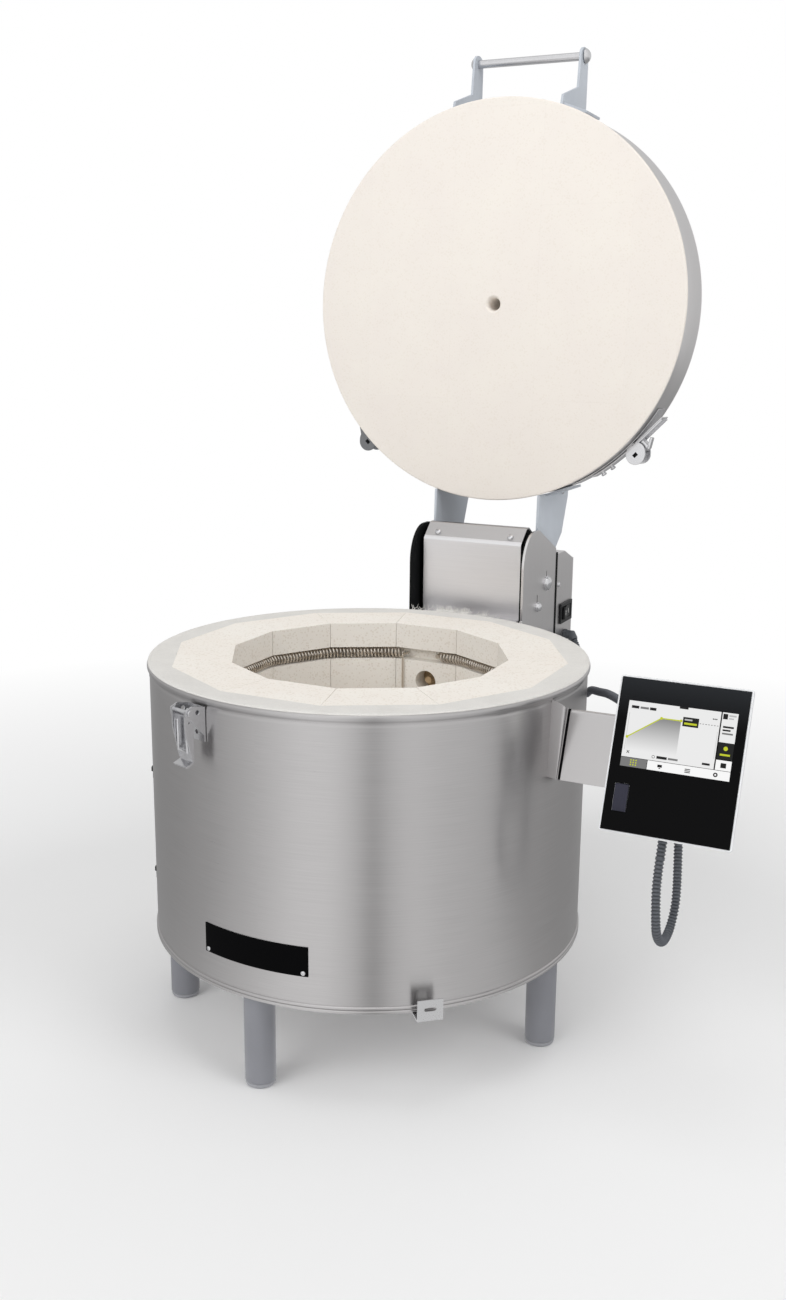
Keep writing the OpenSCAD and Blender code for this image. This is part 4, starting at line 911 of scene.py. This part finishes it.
def linerOutline(grow):  # the hinge plate's own outline, grown a little, for its sheets of painted shade
    front, back = hingePlateShade["front"] - grow, hingePlateShade["back"] + grow
    high, r = hingePlateShade["high"] + grow, hingePlateShade["round"] + grow
    outline = [(front, hingePlateShade["low"]), (back, hingePlateShade["low"]), (back, hingePlateShade["backHigh"] + grow),
               (hingePlateShade["slopeFrom"], high)] + arc((front + r, high - r), r, 90, 180, 16)
    return [(drawnIn(y), z) for y, z in outline]


hingePlateShadeSheets = [plate(name, linerOutline(grow), thick, upright(drumMove, x), edge)
          for name, (grow, thick, x, edge) in hingePlateShade["sheets"].items()]
fit(joined("plateLiners", hingePlateShadeSheets), "gapLining", "kiln", "stainless_sheet")
# near-black strips in the gaps between the switchgear box and the hinge plates: painted shade
boxGapShade = {"low": (377.2, 299), "high": (383.9, 468), "wide": 15.2, "edge": 0.3, "places": (62.2, -77.4)}
boxGapShadeSheets = [plate("boxGasket", box(boxGapShade["low"], boxGapShade["high"]), boxGapShade["wide"], upright(drumMove, x),
                 boxGapShade["edge"]) for x in boxGapShade["places"]]
fit(joined("boxGaskets", boxGapShadeSheets), "gapLining", "kiln", "stainless_sheet")
bolt = {"out": 77.2, "foot": -0.2, "rim": 1.2, "dome": 1.7, "steps": 48,  # pivot bolt, then stop bolt
        "places": ((lidMove["y"], lidMove["z"], 9.6, 6.6), (312.0, 408.6, 6.2, 6.0))}
boltHeads = []
for y, z, radius, high in bolt["places"]:
    dome = [(0, bolt["foot"]), (radius, bolt["foot"]), (radius, bolt["rim"]), (radius - 0.5, bolt["dome"])]
    dome += [(0.9 * x, bolt["dome"] + (high - bolt["dome"]) * up / radius)
             for x, up in arc((0, 0), radius, 0, 90, 9)]
    head = turn("boltHead", dome, bolt["steps"], closed=False)
    boltHeads += [copyOf(head, aimed((side, 0, 0), at(side * bolt["out"], y, z))) for side in (1, -1)]
    bpy.data.objects.remove(head)
fit(joined("hingeBoltHeads", boltHeads), "zinc", "kiln", "zinc_steel")

panHead = [(0, -0.4), (4, -0.4), (4, 0.9), (3.6, 1.8), (2.6, 2.4), (1.5, 2.6), (1.2, 1.4), (0, 1.4)]
screw = turn("screwHead", panHead, 32, closed=False)  # 8 mm wide, with its recess
chamfer = Vector((0, -0.68, 0.735))
outs = [(side, Vector((side, 0, 0))) for side in (1, -1)]
screws = {  # body, then place, normal and size of each
    "coverScrews": ("kiln", [(at(x, 285.6, 497.9) + chamfer * 0.6 * mm, chamfer, 1.0) for x in (-49, 49)]),
    "boxScrews": ("kiln", [(at(side * 77, 390.5, 424), normal, 0.85) for side, normal in outs]),
    "plateRivets": ("kiln", [(onRing(235.9, az, 145), onRing(1, az) - drumFoot, 0.62)
                             for az in (-15.3, 11.8)]),
    "armScrews": ("lid", [(lidOpen @ at(side * 71.5, y, 494), normal, 0.9) for side, normal in outs
                          for y in (-232, 232)]),
}
for name, (body, places) in screws.items():
    heads = [copyOf(screw, aimed(normal, spot) @ Matrix.Scale(size, 4)) for spot, normal, size in places]
    fit(joined(name, heads), "zinc", body, "zinc_steel")
bpy.data.objects.remove(screw)

bpy.context.view_layer.update()
mark = {"ringAt": 411.5, "barAt": 428.5, "z": 383.0, "from": 110.0, "thick": 0.15}  # generic off and on marks


def onRocker(y):  # a place on the rocker's face
    spot, normal = madeFrom["switch_rocker"].ray_cast(at(mark["from"], y, mark["z"]), Vector((-1, 0, 0)))[1:3]
    return aimed(normal, spot)


offRing = turn("offRing", box((2.2, 0), (3.3, mark["thick"])), 32)
place(offRing, onRocker(mark["ringAt"]))
onBar = plate("onBar", box((-0.6, -3.1), (0.6, 3.1)), mark["thick"], onRocker(mark["barAt"]), 0)
fit(joined("switchMarks", [offRing, onBar]), "print", "switch_rocker", "black_plastic")
print("hinge and switch details done")

bracket = {
    "edgeAz": 75.7, "edgeLow": 320.3, "edgeHigh": 399.0, "out": 234.7, "slit": (237.6, -58.9, 319.4),
    "slitRise": (-0.8, 25.4, 66.8), "kneeWay": (0.305, -0.912, 0.274), "knee": (2.2, 24.0),
    "kneeRound": (0.8, 3.2), "shares": (0.36, 0.72), "web": 1.6, "sheet": 2.0, "low": -34.0, "high": 38.0,
    "left": -116.1, "right": -12.0, "face": 29.3, "fold": 9.0, "bend": 4.0, "return": (28.4, 46.2),
    "armHigh": 37.0, "armReturnHigh": 36.5, "armReturnEdge": 0.8, "baseReturn": 1.8, "baseReturnAt": -120.4,
    "flange": 236.5, "flangeHalfDegrees": (155, 169), "flangeRows": (322, 370),
}
slitShade = {"low": (30.8, -33.4), "high": (45.6, 37.4), "thick": 1.9, "x": -118.3, "edge": 0.2}
clearSelection()
edit.primitive_grid_add(x_subdivisions=14, y_subdivisions=10, size=1)
baseWeb = bpy.context.object
first, second = bracket["shares"]  # of the width: up to the knee, and through it
for corner in baseWeb.data.vertices:  # a front from the jacket to a slanted fold, then a return to the slit
    s, t = corner.co.x + 0.5, corner.co.y + 0.5
    start = onRing(bracket["out"], bracket["edgeAz"] + t,
                   bracket["edgeLow"] + (bracket["edgeHigh"] - bracket["edgeLow"]) * t)
    end = at(*(low + rise * t for low, rise in zip(bracket["slit"], bracket["slitRise"])))
    knee = end + Vector(bracket["kneeWay"]) * (bracket["knee"][0] + bracket["knee"][1] * t) * mm
    cut = (bracket["kneeRound"][0] + bracket["kneeRound"][1] * t) * mm
    before, after = knee + (start - knee).normalized() * cut, knee + (end - knee).normalized() * cut
    if s < first:
        corner.co = start.lerp(before, s / first)
    elif s < second:
        corner.co = bent(before, knee, after, (s - first) / (second - first))
    else:
        corner.co = after.lerp(end, (s - second) / (1 - second))
useModifier(baseWeb, "SOLIDIFY", thickness=bracket["web"] * mm, offset=-1.0)
softEdges(baseWeb, 0.3, 2, 50)
wrap = [polar(bracket["flange"], d / 2) for d in range(*bracket["flangeHalfDegrees"])]
baseFlange = bentSheet("baseFlange", wrap, *bracket["flangeRows"], bracket["web"], lying(drumMove))
near, far = bracket["return"]
baseReturn = plate("baseReturn", box((near, bracket["low"]), (far, bracket["high"])), bracket["baseReturn"],
                   upright(controlMove, bracket["baseReturnAt"]))
standFor(joined("bracketBase", [baseWeb, baseFlange, baseReturn]), "bracketSteel", "bracket_base")
armLine = rounded([(bracket["face"], bracket["low"]), (bracket["face"], bracket["armHigh"]),
                   (bracket["face"] + bracket["fold"], bracket["armHigh"])], bracket["bend"])
armSheet = bentSheet("armSheet", armLine, bracket["left"], bracket["right"], bracket["sheet"], controlMove)
armReturn = plate("armReturn", box((near, bracket["low"]), (far, bracket["armReturnHigh"])), bracket["sheet"],
                  upright(controlMove, bracket["left"]), bracket["armReturnEdge"])
standFor(joined("bracketArm", [armSheet, armReturn]), "bracketSteel", "bracket_arm")
# a near-black sheet between the bracket's two returns: painted shade that darkens the slit
slitShadeSheet = plate("bracketSpacer", box(slitShade["low"], slitShade["high"]), slitShade["thick"],
               upright(controlMove, slitShade["x"]), slitShade["edge"])
fit(slitShadeSheet, "gapLining", "kiln", "stainless_sheet")
print("bracket folded")

display = {"left": -51.0, "wide": 103.0, "top": 51.0, "tall": 62.6, "skin": 0.04, "low": 0.06, "layer": 0.07}


def onDisplay(u, v):  # shares of the display's width and height, from its upper left corner
    return (display["left"] + display["wide"] * u, display["top"] - display["tall"] * v)


def area(u0, v0, u1, v1):
    return box(onDisplay(u0, v1), onDisplay(u1, v0))


def dot(u, v, radius):
    return disc(*onDisplay(u, v), radius, 20)


def stroke(points, width):  # a drawn line as one outline
    line = [Vector(onDisplay(*p)) for p in points]
    left, right = [], []
    for i, point in enumerate(line):
        ahead = (line[min(i + 1, len(line) - 1)] - line[max(i - 1, 0)]).normalized()
        side = Vector((-ahead.y, ahead.x)) * width / 2
        left.append(tuple(point + side))
        right.append(tuple(point - side))
    return right + left[::-1]


curve = [(0.026, 0.553), (0.319, 0.212), (0.50, 0.211)]
under = [(0.026, 0.56), (0.026, 0.76), (0.50, 0.76), (0.50, 0.22), (0.319, 0.22)]  # the shade below the curve
shown = {  # finish: (layer, outline), generic shapes only
    "displayPale": [(0, area(0, 0, 0.848, 0.855)), (0, area(0.86, 0, 1, 0.443))],
    "displayWhite": [
        (0, area(0.25, 0.862, 1, 1)), (0, area(0.86, 0.705, 1, 0.855)), (3, dot(0.872, 0.93, 0.9)),
        (3, dot(0.295, 0.80, 0.9))],
    "displayGrey": [
        (0, area(0, 0.862, 0.245, 1)), (2, dot(0.295, 0.80, 1.5)), (2, area(0.43, 0.785, 0.52, 0.815)),
        (2, area(0.112, 0.075, 0.19, 0.108)), (2, area(0.878, 0.30, 0.975, 0.325)),
        *((2, area(0.668 + 0.026 * k, 0.209, 0.682 + 0.026 * k, 0.219)) for k in range(7))],
    "displaySoft": [
        (1, area(0.017, 0.18, 0.0205, 0.75)), (3, area(0.53, 0.172, 0.60, 0.195)),
        (2, area(0.92, 0.03, 0.985, 0.055)), (2, area(0.92, 0.075, 0.965, 0.095)),
        (1, area(0.835, 0.30, 0.838, 0.70))],
    "displayFade": [(1, [onDisplay(*spot) for spot in under])],
    "displayCurve": [
        (2, stroke(curve, 1.1)), (4, area(0.53, 0.226, 0.645, 0.256)), (2, dot(0.93, 0.53, 2.0)),
        (2, area(0.885, 0.61, 0.975, 0.638)), *((3, dot(u, v, 1.35)) for u, v in curve),
        *((2, dot(0.12 + 0.024 * i, 0.93 + 0.036 * j, 0.72)) for i in (-1, 0, 1) for j in (-1, 0, 1))],
    "displayDark": [
        (0, area(0.86, 0.45, 1, 0.69)), (2, area(0.905, 0.745, 0.955, 0.817)),
        (2, area(0.515, 0.145, 0.66, 0.285)), (2, area(0.03, 0.07, 0.10, 0.112)),
        (2, area(0.20, 0.07, 0.26, 0.112)), (2, area(0.868, 0.02, 0.91, 0.10)),
        (2, area(0.325, 0.78, 0.42, 0.82)), (2, area(0.74, 0.78, 0.81, 0.812)),
        (2, area(0.47, 0, 0.55, 0.03)), *((2, dot(u, 0.12, 0.62)) for u in (0.785, 0.80, 0.815)),
        (2, stroke([(0.044, 0.758), (0.068, 0.798)], 0.6)),
        (3, stroke([(0.068, 0.758), (0.044, 0.798)], 0.6)),
        (2, area(0.345, 0.905, 0.387, 0.945)), (2, area(0.358, 0.952, 0.374, 0.965)),
        *((2, area(0.595, v, 0.645, v + 0.013)) for v in (0.905, 0.928, 0.951)), (2, dot(0.872, 0.93, 2.1)),
        (2, area(0.878, 0.20, 0.975, 0.228)), (2, area(0.878, 0.25, 0.95, 0.275))],
}
for look, items in shown.items():
    tiles = []
    for layer, outline in items:
        move = raised(controlFace, display["low"] + display["layer"] * layer)
        tiles.append(plate("tile", outline, display["skin"], move, 0))
    fit(joined(look + "Area", tiles), look, "kiln", "black_glass")
print("display drawn:", sum(len(items) for items in shown.values()), "areas")

azimuths = (-180, -153, -130, -105, -75, -50, -25, -5, 10, 22, 29, 36, 46, 60, 80, 100, 120, 150, 180)
lowTones = (0.34, 0.55, 0.42, 0.34, 0.40, 0.50, 0.72, 0.96, 0.98, 0.76, 0.40, 0.72, 0.86, 0.74, 0.66, 0.46,
            0.38, 0.34, 0.36)  # how bright the studio is at each azimuth
highTones = (0.60, 0.75, 0.60, 0.55, 0.62, 0.75, 0.95, 1.10, 1.10, 0.92, 0.58, 0.88, 1.00, 0.92, 0.86, 0.78,
             0.76, 0.76, 0.60)
ceiling = (-180, -120, -75, -40, 0, 40, 80, 130, 180)
overTones = (0.56, 0.70, 0.90, 1.30, 1.70, 1.50, 1.00, 0.68, 0.56)


def studioTone(tree, vector, tones, places=azimuths):  # the soft light and dark of the studio by azimuth
    x, y = split(tree, vector)[:2]
    angle = calc(tree, "ARCTAN2", x, calc(tree, "MULTIPLY", y, -1.0))
    share = calc(tree, "MULTIPLY_ADD", angle, 0.5 / pi, 0.5)
    return ramp(tree, share, [((az + 180) / 360, grey(level)) for az, level in zip(places, tones)])


def rays(tree):  # what is seen in a mirror or through glass, and what the camera sees itself
    path = addNode(tree, "LightPath").outputs
    return calc(tree, "MAXIMUM", path["Is Glossy Ray"], path["Is Transmission Ray"]), path["Is Camera Ray"]


def glow(tree, colour):
    return addNode(tree, "Emission", Color=colour, Strength=1.0).outputs[0]


floor = {"size": 8.0, "tone": "#F6F6F6", "clear": 0.6, "far": 1.7}  # metres; white from far on
clearSelection()
edit.primitive_grid_add(x_subdivisions=8, y_subdivisions=8, size=floor["size"], location=(0, 0, 0))
ground = named(bpy.context.object, "studioFloor")
material, tree, surface = newMaterial("paleStudioFloor", Base_Color=tone(floor["tone"]), Roughness=0.9)
moved = addNode(tree, "Mapping", Vector=objectPlace(tree), Location=-drumFoot).outputs[0]
mirror, direct = rays(tree)
away = addNode(tree, "VectorMath", {"operation": "LENGTH"}, i0=moved).outputs["Value"]
white = addNode(tree, "MapRange", Value=away, From_Min=floor["clear"], From_Max=floor["far"]).outputs[0]
seen = calc(tree, "MULTIPLY", white, direct)
shaded = addNode(tree, "MixShader", i0=seen, i1=surface.outputs[0], i2=glow(tree, grey(1.0))).outputs[0]
around = glow(tree, studioTone(tree, moved, lowTones))
shownFloor = addNode(tree, "MixShader", i0=mirror, i1=shaded, i2=around).outputs[0]
tree.links.new(shownFloor, [n for n in tree.nodes if n.type == "OUTPUT_MATERIAL"][0].inputs[0])
ground.data.materials.append(material)

sky = {"fill": 0.54, "overFrom": 0.80, "overTo": 0.96}  # how bright it lights, and where the ceiling begins
world = bpy.data.worlds.new("softStudio")
scene.world = world
world.use_nodes = True
tree = world.node_tree
tree.nodes.clear()
direction = addNode(tree, "TexCoord").outputs["Generated"]
over = addNode(tree, "MapRange", {"interpolation_type": "SMOOTHSTEP"}, Value=split(tree, direction)[2],
               From_Min=sky["overFrom"], From_Max=sky["overTo"]).outputs[0]
mirrored = blend(tree, over, studioTone(tree, direction, highTones),
                 studioTone(tree, direction, overTones, ceiling))
mirror, direct = rays(tree)
light = blend(tree, direct, blend(tree, mirror, grey(sky["fill"]), mirrored), grey(1.0))
background = addNode(tree, "Background", Color=light, Strength=1.0)
addNode(tree, "OutputWorld", Surface=background.outputs[0])

lamps = {"key": (-20, 27, 3.8, 2.8, 49), "side": (75, 35, 3.0, 1.8, 22), "back": (190, 32, 3.0, 2.2, 8),
         "top": (0, 82, 2.4, 1.6, 9)}
target = Vector((0, 0, 0.45))
for name, (az, height, far, size, power) in lamps.items():  # azimuth, elevation, metres away, size, watts
    lamp = newObject(name + "Lamp", bpy.data.lights.new(name + "Lamp", "AREA"))
    lamp.data.shape, lamp.data.size, lamp.data.energy = "DISK", size, power
    e = radians(height)
    lamp.location = Vector((*polar(cos(e), az), sin(e))) * far + target
    lamp.rotation_euler = (target - lamp.location).to_track_quat("-Z", "Y").to_euler()
    lamp.visible_glossy = False
print("light set")

bpy.context.view_layer.update()
